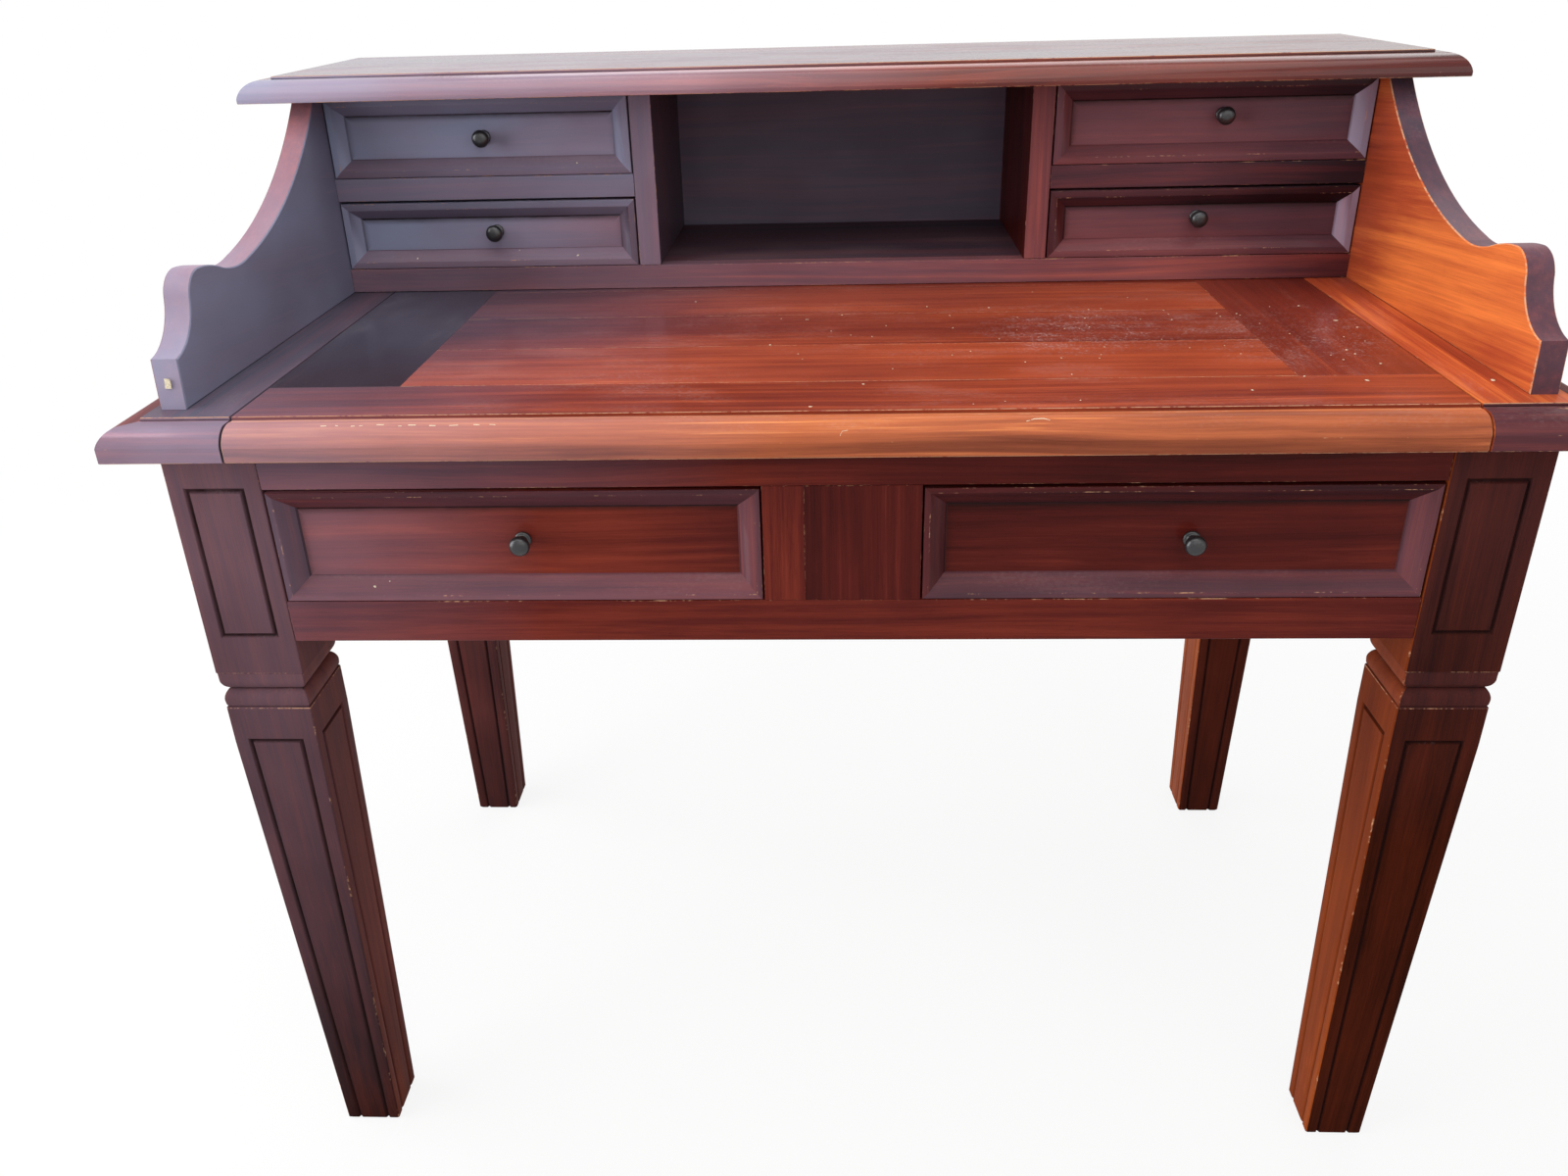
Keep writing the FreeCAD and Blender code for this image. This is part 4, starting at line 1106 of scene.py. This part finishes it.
class DESK_OT_gallery(bpy.types.Operator):
    """Make the two shaped gallery sides"""

    bl_idname = "desk.gallery"
    bl_label = "Gallery sides"

    def execute(self, context):
        slant, top, foot = -5.0, 975.0, WRITING_TOP
        near, far = -230.0, 135.0  # along the left side's shaped edge
        for side in SIDES:
            low, high = spot(f"gallery_{side}")
            outline = self.outline(low, high)
            # Painted light: the left side's inner face and cut edge take painted glare, fading away
            # from the top and along the edge, and the right side's inner face is toned light where
            # the window's light falls; its edge's arrises paint brighter glints. The outer faces
            # carry neither.
            if side == "left":
                board = Board("Y", 0.32, 0.4, 0.86, slant, (top, foot, 0.05, -0.16))
                cut = board.stained(0.74, 0.68, (near, far, -0.12, -0.36), "y")
                worn_and_shading = 0.25
            else:
                board = Board("Y", 0.84, 0.62, 0.0, slant, (top, foot, 0.08, 0.0))
                cut = board.stained(0.24, 0.16)
                worn_and_shading = 0.8
            outside = board.stained(0.30, 0.0, Board.NO_FALL)
            outside.streaks = 0.9
            flats = (outside, board) if side == "left" else (board, outside)
            piece = Piece(f"{side}_gallery_board")
            piece.slab(outline, 0, low.x, high.x, board, 0.9, worn_and_shading, cut, flats)
            piece.done("mahogany", "carcase", f"gallery_{side}", smooth=40.0)
        return {"FINISHED"}

    def outline(self, low, high):
        """The side seen from the right: foot, hollow, nose, crest, dip and long sweep."""
        y, z = low.y - 15.0, low.z
        head, dip = (y + 375.0, high.z), (y + 172.0, z + 84.5)
        crest, nose = (y + 124.0, z + 86.0), (y + 84.0, z + 95.0)
        neck, point = (y + 58.0, z + 75.0), (y + 18.0, z + 39.5)
        line = [(low.y, z), (high.y, z), (high.y, high.z), head]
        for start, end, radius, bulge, steps in (
            (head, dip, 375.0, 1, 26), (dip, crest, 95.0, 1, 8), (crest, nose, 120.0, -1, 8),
            (nose, neck, 24.0, -1, 14), (neck, point, 48.0, 1, 12),
        ):
            line += arc(start, end, radius, bulge, steps)
        return [(p, q, 0.0) for p, q in line]


# ---------------------------------------------------------------- cabinet


class DESK_OT_cabinet(bpy.types.Operator):
    """Make the low cabinet: rails, partitions, back and moulded shelf"""

    bl_idname = "desk.cabinet"
    bl_label = "Cabinet and shelf"

    def execute(self, context):
        # The rail, floor, back, partitions and dividers take painted glare, most at the left and on
        # the faces towards the front.
        plain_board("cabinet_bottom_rail", "cabinet_rail", Board("X", 0.46, 1.0, (0.38, 0.06)))
        plain_board("cabinet_floor", "cabinet_bottom", Board("X", 0.16, 0.8, 0.12))
        back = Board("X", 0.28, 0.8)
        front = back.stained(0.26, (0.5, 0.3))
        plain_board("cabinet_back", "cabinet_back_board", back, front=front)
        for side in SIDES:
            wall = Board("Z", 0.14, 0.8, 0.20 if side == "left" else 0.0)
            edge = wall.stained(*((0.54, 0.51) if side == "left" else (0.50, 0.13)))
            plain_board(f"cabinet_partition_{side}", f"{side}_partition", wall, front=edge)
            tone, haze = (0.34, 0.50) if side == "left" else (0.24, 0.08)
            plain_board(f"cabinet_divider_{side}", f"{side}_divider", Board("X", tone, 0.8, haze))
        sticks("cabinet_runners", "cabinet_runner_strips")
        low, high = spot("shelf")
        tip_height = 4.0
        rows = moulding(high.z, low.z, tip_height, context.scene.desk_sizes)
        # The shelf's top and front take painted glare towards the left, and its front is toned
        # lighter at the left.
        top = Board("X", 0.27, 0.9, (0.3, 0.06))
        piece = Piece("top_shelf")
        front = Board("X", (0.72, 0.28), 0.8, (0.80, -0.56))
        boards = {side: Board("Y", 0.30, 0.9, 0.05) for side in SIDES}
        boards.update(front=front, back=Board("X", 0.30, 0.9))
        piece.moulded(low, high, rows, ("front", "left", "right"), boards, top)
        piece.done("mahogany", "carcase", "shelf", kind="polished_mahogany")
        return {"FINISHED"}


# ---------------------------------------------------------------- drawers


# The flat rim, the bevel and the panel's depth of the drawer fronts, in millimetres.
LARGE_FRONT = (4.5, 13.5, 12.0)
SMALL_FRONT = (6.5, 10.0, 9.0)


class DESK_OT_drawers(bpy.types.Operator):
    """Make the bevelled drawer fronts and the drawers behind them"""

    bl_idname = "desk.drawers"
    bl_label = "Drawers"

    # Painted light and shade of each front: tone and painted glare of its panel, then of the
    # bevels below, right of, above and left of it. Bevels turned towards the window's light
    # are toned lighter, and shaded ones darker.
    painted_light = {
        "drawer_left": (
            ((0.46, 0.02), (0.34, -0.84)), (0.38, (0.23, 0.0)), (0.32, 0.11), (0.20, 0.06),
            (0.21, 0.20),
        ),
        "drawer_right": ((0.20, 0.0), (0.28, 0.09), (0.29, 0.09), (0.16, 0.02), (0.20, 0.03)),
        "small_drawer_upper_left": (
            (0.60, 0.87), (0.32, 0.38), (0.40, 0.68), (0.28, 0.60), (0.50, 0.88),
        ),
        "small_drawer_lower_left": (
            (0.50, (1.10, -1.00)), (0.40, (0.52, 0.10)), (0.26, 0.32), (0.24, 0.46), (0.42, 0.78),
        ),
        "small_drawer_upper_right": (
            (0.42, 0.20), (0.42, 0.14), (0.90, 0.74), (0.20, 0.08), (0.36, 0.14),
        ),
        "small_drawer_lower_right": (
            (0.34, 0.14), (0.46, 0.14), (0.86, 0.70), (0.14, 0.06), (0.18, 0.05),
        ),
    }

    def execute(self, context):
        for side in SIDES:
            body = f"drawer_{side}"
            self.front(f"large_front_{side}", body, *LARGE_FRONT)
            sticks(f"{body}_sides", f"large_walls_{side}", body=body)
            for part, name, arris in (("back", "rear", 0.5), ("bottom", "bottom", 0.4)):
                plain_board(
                    f"{body}_{part}", f"large_{name}_{side}", Board("X", 0.5), "inner_wood", body,
                    arris=arris,
                )
            for level in LEVELS:
                body = f"small_drawer_{level}_{side}"
                self.front(f"small_front_{level}_{side}", body, *SMALL_FRONT)
                self.box(f"{body}_box", f"small_box_{level}_{side}", body)
        return {"FINISHED"}

    def front(self, name, body, rim, bevel, deep):
        """A front whose sunk panel stands between four bevels, each its own board."""
        low, high = spot(f"{body}_front")
        piece = Piece(name)
        (tone, haze), *bevels = self.painted_light[body]
        # Each panel grows lighter towards its foot.
        panel = Board("X", tone, 0.5, haze, fall=(high.z, low.z, 0.12, 0.0))
        around = [Board(run, tone, 0.6, haze) for run, (tone, haze) in zip("XZXZ", bevels)]
        boards = {True: around, False: [panel] * 4}
        face, foot, slope = low.y, rim + bevel, deep / bevel
        # From the back to the panel: inset, place along y, whether the bevels' boards follow
        # it, and rubbing and painted shading: the arrises are rubbed pale and paint their
        # glints, and the foot of the bevels and the panel's edge are painted in shade.
        stages = [
            (0.6, high.y, False, 0.4), (0.0, high.y - 0.6, False, 0.0),
            (0.0, face + 0.7, True, 0.36), (0.7, face, True, 0.0),
            (rim - 0.4, face, True, 0.42), (rim + 0.4, face + 0.4 * slope, True, 0.0),
            (foot - 0.9, face + deep - 0.9 * slope, True, "foot"),
            (foot, face + deep + 0.5, True, "foot"),
            (foot + 0.8, face + deep, False, "panel"), (foot + 7.0, face + deep, False, 0.0),
        ]
        # Painted shade in the hollow below, right of, above and left of the panel: darkest above,
        # where the bevel's shadow falls.
        hollows = (-0.2, -0.35, -0.9, -0.6)

        def loop(by, y):
            """The front's four corners, drawn in, at one depth."""
            left, right, under, above = low.x + by, high.x - by, low.z + by, high.z - by
            corners = ((left, under), (right, under), (right, above), (left, above))
            return [Vector((x, y, z)) for x, z in corners]

        piece.face(loop(*stages[0][:2]), panel)
        for (by, y, bevelled, wear_and_shading), (next_by, next_y, _, _) in zip(stages, stages[1:]):
            first, second = loop(by, y), loop(next_by, next_y)
            for i, (board, hollow) in enumerate(zip(boards[bevelled], hollows)):
                j = (i + 1) % 4
                rub_and_shading = {"panel": (hollow * 0.8, hollow * 0.8, 0.0, 0.0), "foot": hollow}
                points = [first[i], first[j], second[j], second[i]]
                piece.face(points, board, rub_and_shading.get(wear_and_shading, wear_and_shading))
        piece.face(loop(*stages[-1][:2]), panel)
        piece.done("mahogany", body, f"{body}_front")

    def box(self, node, name, body):
        """The two sides, the back and the bottom of a small drawer, as one piece."""
        xs, ys, zs = (lines(node, axis) for axis in range(3))
        low, high = spot(node)
        piece = Piece(name)
        parts = (
            ((xs[0], ys[0], low.z), (xs[1], ys[-1], high.z), "Y"),
            ((xs[-2], ys[0], low.z), (xs[-1], ys[-1], high.z), "Y"),
            ((xs[1], ys[-2], low.z), (xs[-2], ys[-1], high.z), "X"),
            ((xs[1], ys[0], zs[0]), (xs[-2], ys[-2], zs[1]), "X"),
        )
        for first, second, run in parts:
            piece.block(first, second, Board(run, 0.5), 0.4, 0.3)
        piece.done("inner_wood", body, node)


class DESK_OT_knobs(bpy.types.Operator):
    """Turn the six metal knobs"""

    bl_idname = "desk.knobs"
    bl_label = "Knobs"

    # The turned outline: radius, and distance out from the drawer's front.
    outline = (
        (0.6, 0.0), (6.4, 0.0), (7.0, 0.5), (7.0, 1.7), (6.3, 2.5), (4.7, 2.8), (4.0, 3.7),
        (3.9, 6.0), (4.0, 8.0), (4.5, 8.8), (6.3, 9.6), (8.0, 11.4), (8.6, 13.4),
        (8.4, 15.4), (7.3, 17.2), (5.3, 18.5), (2.8, 19.0), (0.6, 19.0),
    )

    def execute(self, context):
        turns = [math.tau * k / 24 for k in range(24)]
        bodies = [f"drawer_{side}" for side in SIDES]
        bodies += [f"small_drawer_{level}_{side}" for level in LEVELS for side in SIDES]
        for body in bodies:
            low, high = spot(f"{body}_knob")
            x, z = (low.x + high.x) / 2, (low.z + high.z) / 2
            rings = [
                [
                    Vector((x + radius * math.cos(turn), high.y - out, z + radius * math.sin(turn)))
                    for turn in turns
                ]
                for radius, out in self.outline
            ]
            piece = Piece(f"{body}_turned_knob")
            piece.loft(rings, Board("Y"))
            made = piece.done("knob_metal", body, f"{body}_knob", smooth=80.0)
            made.modifiers.clear()
            round_off = made.modifiers.new("rounding", "SUBSURF")
            round_off.levels = round_off.render_levels = 2
        return {"FINISHED"}


# ---------------------------------------------------------------- marks of use


class DESK_OT_marks(bpy.types.Operator):
    """Add the pale plug, specks and scratches of long use"""

    bl_idname = "desk.marks"
    bl_label = "Marks of use"

    def execute(self, context):
        hand = random.Random(11)
        low, _ = spot("gallery_left")
        piece = Piece("gallery_plug")
        outline = [(-521.8, 797.0), (-516.9, 796.6), (-516.4, 801.0), (-517.0, 804.4),
                   (-520.9, 804.9), (-521.3, 801.6)]
        outline = [(x, z, 0.0) for x, z in outline]
        piece.slab(outline, 1, low.y - 0.25, low.y + 0.8, Board("X"), 0.15)
        piece.done("light_mahogany", "carcase", kind="pale_filler")

        _, high = spot("slide_boards")
        piece = Piece("slide_specks")
        large = [(442.1, -63.2, 1.7, 0.9), (426.5, -9.5, 0.9, 0.8), (452.5, -86.9, 0.9, 0.6),
                 (418.9, -155.8, 0.8, 0.8), (421.9, -167.4, 0.7, 0.7), (431.9, -195.5, 0.8, 0.7),
                 (405.3, -238.7, 1.4, 0.8), (312.2, -259.6, 0.9, 0.7), (361.6, -226.8, 0.8, 0.6),
                 (140.2, 0.0, 0.9, 0.7), (17.3, -233.5, 0.8, 0.7), (-62.2, -118.0, 0.8, 0.7),
                 (-144.0, 39.9, 0.7, 0.7), (-23.3, -287.6, 1.1, 0.6), (406.8, -183.5, 0.7, 0.6)]
        middle, spread = (200, -90), (130, 80)
        small = [
            (middle[0] + hand.gauss(0, spread[0]), middle[1] + hand.gauss(0, spread[1]),
             hand.uniform(0.35, 0.6), hand.uniform(0.3, 0.5))
            for _ in range(60)
        ]
        end, near, far = 450, -290, 90
        up, larger = Vector((0.0, 0.0, 1.0)), 1.4
        for x, y, a, b in large + [s for s in small if abs(s[0]) < end and near < s[1] < far]:
            self.speck(piece, hand, Vector((x, y, high.z)), up, a * larger, b * larger)
        piece.done("mahogany", "writing_slide", kind="pale_filler")

        low, high = spot("slide_front_rail")
        outline = rail_outline(low, high, context.scene.desk_sizes)
        piece = Piece("rail_scratches")
        scratches = [((-1.0, 768.6), (-0.5, 770.0), (0.6, 771.5)), ((0.6, 771.5), (4.5, 772.0)),
                     ((135.0, 775.8), (141.0, 776.8), (148.0, 776.9), (152.0, 776.2))]
        x, last, height = -391.0, -262.0, 776.9
        while x < last:
            length, z = hand.uniform(2.0, 7.0), height + hand.uniform(-0.5, 0.3)
            scratches.append(((x, z), (x + length, z + hand.uniform(-0.2, 0.2))))
            x += length + hand.uniform(2.0, 12.0)
        for scratch in scratches:
            self.scratch(piece, outline, scratch, hand.uniform(0.09, 0.16))
        piece.done("light_mahogany", "writing_slide", kind="pale_filler")

        piece = Piece("side_board_fleck")
        self.speck(piece, hand, Vector((498.5, -242.0, WRITING_TOP)), up, 2.6, 1.6)
        piece.done("mahogany", "carcase", kind="pale_filler")

        for body, (rim, bevel, deep), specks in (
            ("drawer_left", LARGE_FRONT, ((-383.0, 0.45, 1.3, 0.9), (-371.0, 0.7, 0.6, 0.5))),
            ("small_drawer_lower_left", SMALL_FRONT,
             ((-437.0, 0.3, 1.0, 0.7), (-331.0, 0.85, 0.9, 0.5), (-270.0, 0.35, 1.3, 0.8))),
            ("small_drawer_upper_left", SMALL_FRONT, ((-262.0, 0.4, 1.0, 0.7),)),
        ):
            low, _ = spot(f"{body}_front")
            slope = Vector((0.0, -bevel, deep)).normalized()
            piece = Piece(f"{body}_bevel_specks")
            for x, share, a, b in specks:
                at = Vector((x, low.y + deep * share, low.z + rim + bevel * share))
                self.speck(piece, hand, at, slope, a, b)
            piece.done("mahogany", body, kind="pale_filler")
        return {"FINISHED"}

    def scratch(self, piece, outline, path, half):
        """A fine raised line on the rail's round through places given by (x, z)."""
        board, rings, rail_round = Board("X"), [], outline[3:]
        for i, (x, z) in enumerate(path):
            along = Vector(path[min(i + 1, len(path) - 1)]) - Vector(path[max(i - 1, 0)])
            across = Vector((-along.y, along.x)).normalized() * half
            ring = []
            for share, out in ((1, -0.15), (1, 0.03), (0, 0.07), (-1, 0.03), (-1, -0.15)):
                height = z + across.y * share
                for (y0, z0, _), (y1, z1, _) in zip(rail_round, rail_round[1:]):
                    if z1 <= height <= z0:
                        break
                y = y0 + (y1 - y0) * (height - z0) / (z1 - z0)
                away = Vector((0.0, z1 - z0, y0 - y1)).normalized()
                ring.append(Vector((x + across.x * share, y, height)) + away * out)
            rings.append(ring)
        piece.loft(rings, board)

    def speck(self, piece, hand, centre, out, length, width):
        """A low rounded crumb that lies on a flat surface facing out."""
        turn = hand.uniform(0, math.pi)
        along = Vector((1.0, 0.0, 0.0))
        across = out.cross(along)

        def corner(angle, share, height):
            """A point of the crumb's uneven rim, drawn in by a share and raised."""
            reach = share * (1.0 + 0.16 * math.sin(3 * angle + turn * 5))
            u, v = length * reach * math.cos(angle), width * reach * math.sin(angle)
            return (
                centre
                + along * (u * math.cos(turn) - v * math.sin(turn))
                + across * (u * math.sin(turn) + v * math.cos(turn))
                + out * height
            )

        rings = [
            [corner(math.tau * k / 8, share, height) for k in range(8)]
            for share, height in ((1.0, -0.1), (0.95, 0.08), (0.55, 0.22))
        ]
        piece.loft(rings, Board("X"))


# ---------------------------------------------------------------- stage


class DESK_OT_stage(bpy.types.Operator):
    """Set the floor, soft light and camera"""

    bl_idname = "desk.stage"
    bl_label = "Stage"

    def execute(self, context):
        scene = context.scene
        scene.view_settings.view_transform = "Standard"
        floor, start = fresh("pale_floor")
        plain = start.node("ShaderNodeBsdfDiffuse", {}, {"Color": full([0.72] * 3)})
        white = start.node("ShaderNodeEmission", {}, {"Color": full([1.0] * 3), "Strength": 1.0})
        away = start.place().distance((0.0, 0.0, 0.0))
        share = self.shown(start) * (0.87 + away.limit(0.7, 2.6) * 0.13)
        mixed = start.node("ShaderNodeMixShader", {}, {0: share, 1: plain, 2: white})
        start.node("ShaderNodeOutputMaterial", {}, {"Surface": mixed})
        mesh = bpy.data.meshes.new("floor")
        reach, under = 9.0, -0.0004
        corners = ((-1, -1), (1, -1), (1, 1), (-1, 1))
        mesh.from_pydata([(x * reach, y * reach, under) for x, y in corners], [], [(0, 1, 2, 3)])
        mesh.materials.append(floor)
        made = bpy.data.objects.new("floor", mesh)
        context.collection.objects.link(made)
        self.sky(scene)
        for name, *settings in (
            ("window_light", (-2.9, -0.5, 1.25), (0.2, 0, 0.6), (3.6, 2.4), 140.0, (0.96, 0.98, 1)),
            ("front_fill", (0.9, -3.0, 2.1), (0, 0, 0.8), (3.6, 2.6), 30.0, (1, 0.97, 0.93)),
            ("overhead", (-0.2, -0.5, 3.2), (0, 0, 0.8), (3.2, 3.2), 68.0, (1, 0.99, 0.97)),
            ("rear_light", (0.4, 2.6, 2.9), (0, 0.1, 0.6), (3.6, 1.6), 42.0, (0.98, 0.99, 1)),
        ):
            self.lamp(name, *settings)
        self.camera(scene)
        return {"FINISHED"}

    def sky(self, scene):
        """An even white background that lights less than it shows."""
        world = bpy.data.worlds.new("studio")
        scene.world = world
        world.use_nodes = True
        world.node_tree.nodes.clear()
        start = Shade(world.node_tree)
        strength = 0.28 + self.shown(start) * 0.72
        values = {"Color": full([1.0] * 3), "Strength": strength}
        light = start.node("ShaderNodeBackground", {}, values)
        start.node("ShaderNodeOutputWorld", {}, {"Surface": light})

    def shown(self, start):
        """One for rays that show the background, straight or mirrored, and zero for others."""
        seen = start.node("ShaderNodeLightPath", output="Is Camera Ray")
        others = seen.beside("Is Glossy Ray") + seen.beside("Is Transmission Ray")
        return (seen + others).limit(0.0, 1.0)

    def lamp(self, name, place, aim, size, power, colour):
        """A rectangular soft light, in metres and watts, that faces its aim."""
        data = bpy.data.lights.new(name, "AREA")
        data.shape = "RECTANGLE"
        data.size, data.size_y = size
        data.energy, data.color = power, colour
        made = bpy.data.objects.new(name, data)
        made.location = place
        way = Vector(aim) - Vector(place)
        made.rotation_euler = way.to_track_quat("-Z", "Y").to_euler()
        bpy.context.collection.objects.link(made)

    def camera(self, scene):
        """A camera in front of the desk that looks down at it."""
        yaw, pitch, roll = (math.radians(a) for a in (-3.03, -26.70, -1.60))
        forward = Vector((
            math.sin(yaw) * math.cos(pitch), math.cos(yaw) * math.cos(pitch), math.sin(pitch)
        ))
        level = Vector((math.cos(yaw), -math.sin(yaw), 0.0))
        upright = level.cross(forward)
        right = level * math.cos(roll) + upright * math.sin(roll)
        up = upright * math.cos(roll) - level * math.sin(roll)
        data = bpy.data.cameras.new("camera")
        data.sensor_width, data.lens = 36.0, 28.84
        made = bpy.data.objects.new("camera", data)
        bpy.context.collection.objects.link(made)
        turn = Matrix((right, up, -forward)).transposed().to_4x4()
        place = (0.0009, -1.19396, 1.08365)
        made.matrix_world = Matrix.Translation(place) @ turn
        scene.camera = made


# ---------------------------------------------------------------- panel and run

OPERATORS = (
    DESK_OT_stage, DESK_OT_legs, DESK_OT_frieze, DESK_OT_top, DESK_OT_slide, DESK_OT_gallery,
    DESK_OT_cabinet, DESK_OT_drawers, DESK_OT_knobs, DESK_OT_marks,
)


class DESK_PT_panel(bpy.types.Panel):
    """Lists the desk's sizes, colours and pieces"""

    bl_idname = "DESK_PT_panel"
    bl_label = "Writing desk"
    bl_space_type = "VIEW_3D"
    bl_region_type = "UI"
    bl_category = "Desk"

    def draw(self, context):
        column = self.layout.column()
        for group in (context.scene.desk_sizes, context.scene.desk_colours):
            for name in group.__annotations__:
                column.prop(group, name)
        for operator in OPERATORS:
            column.operator(operator.bl_idname)


CLASSES = (DeskSizes, DeskColours, *OPERATORS, DESK_PT_panel)


def register():
    for cls in CLASSES:
        bpy.utils.register_class(cls)
    bpy.types.Scene.desk_sizes = bpy.props.PointerProperty(type=DeskSizes)
    bpy.types.Scene.desk_colours = bpy.props.PointerProperty(type=DeskColours)


def unregister():
    del bpy.types.Scene.desk_colours
    del bpy.types.Scene.desk_sizes
    for cls in reversed(CLASSES):
        bpy.utils.unregister_class(cls)


def main():
    register()
    for operator in OPERATORS:
        group, name = operator.bl_idname.split(".")
        getattr(getattr(bpy.ops, group), name)()


if __name__ == "__main__":
    main()
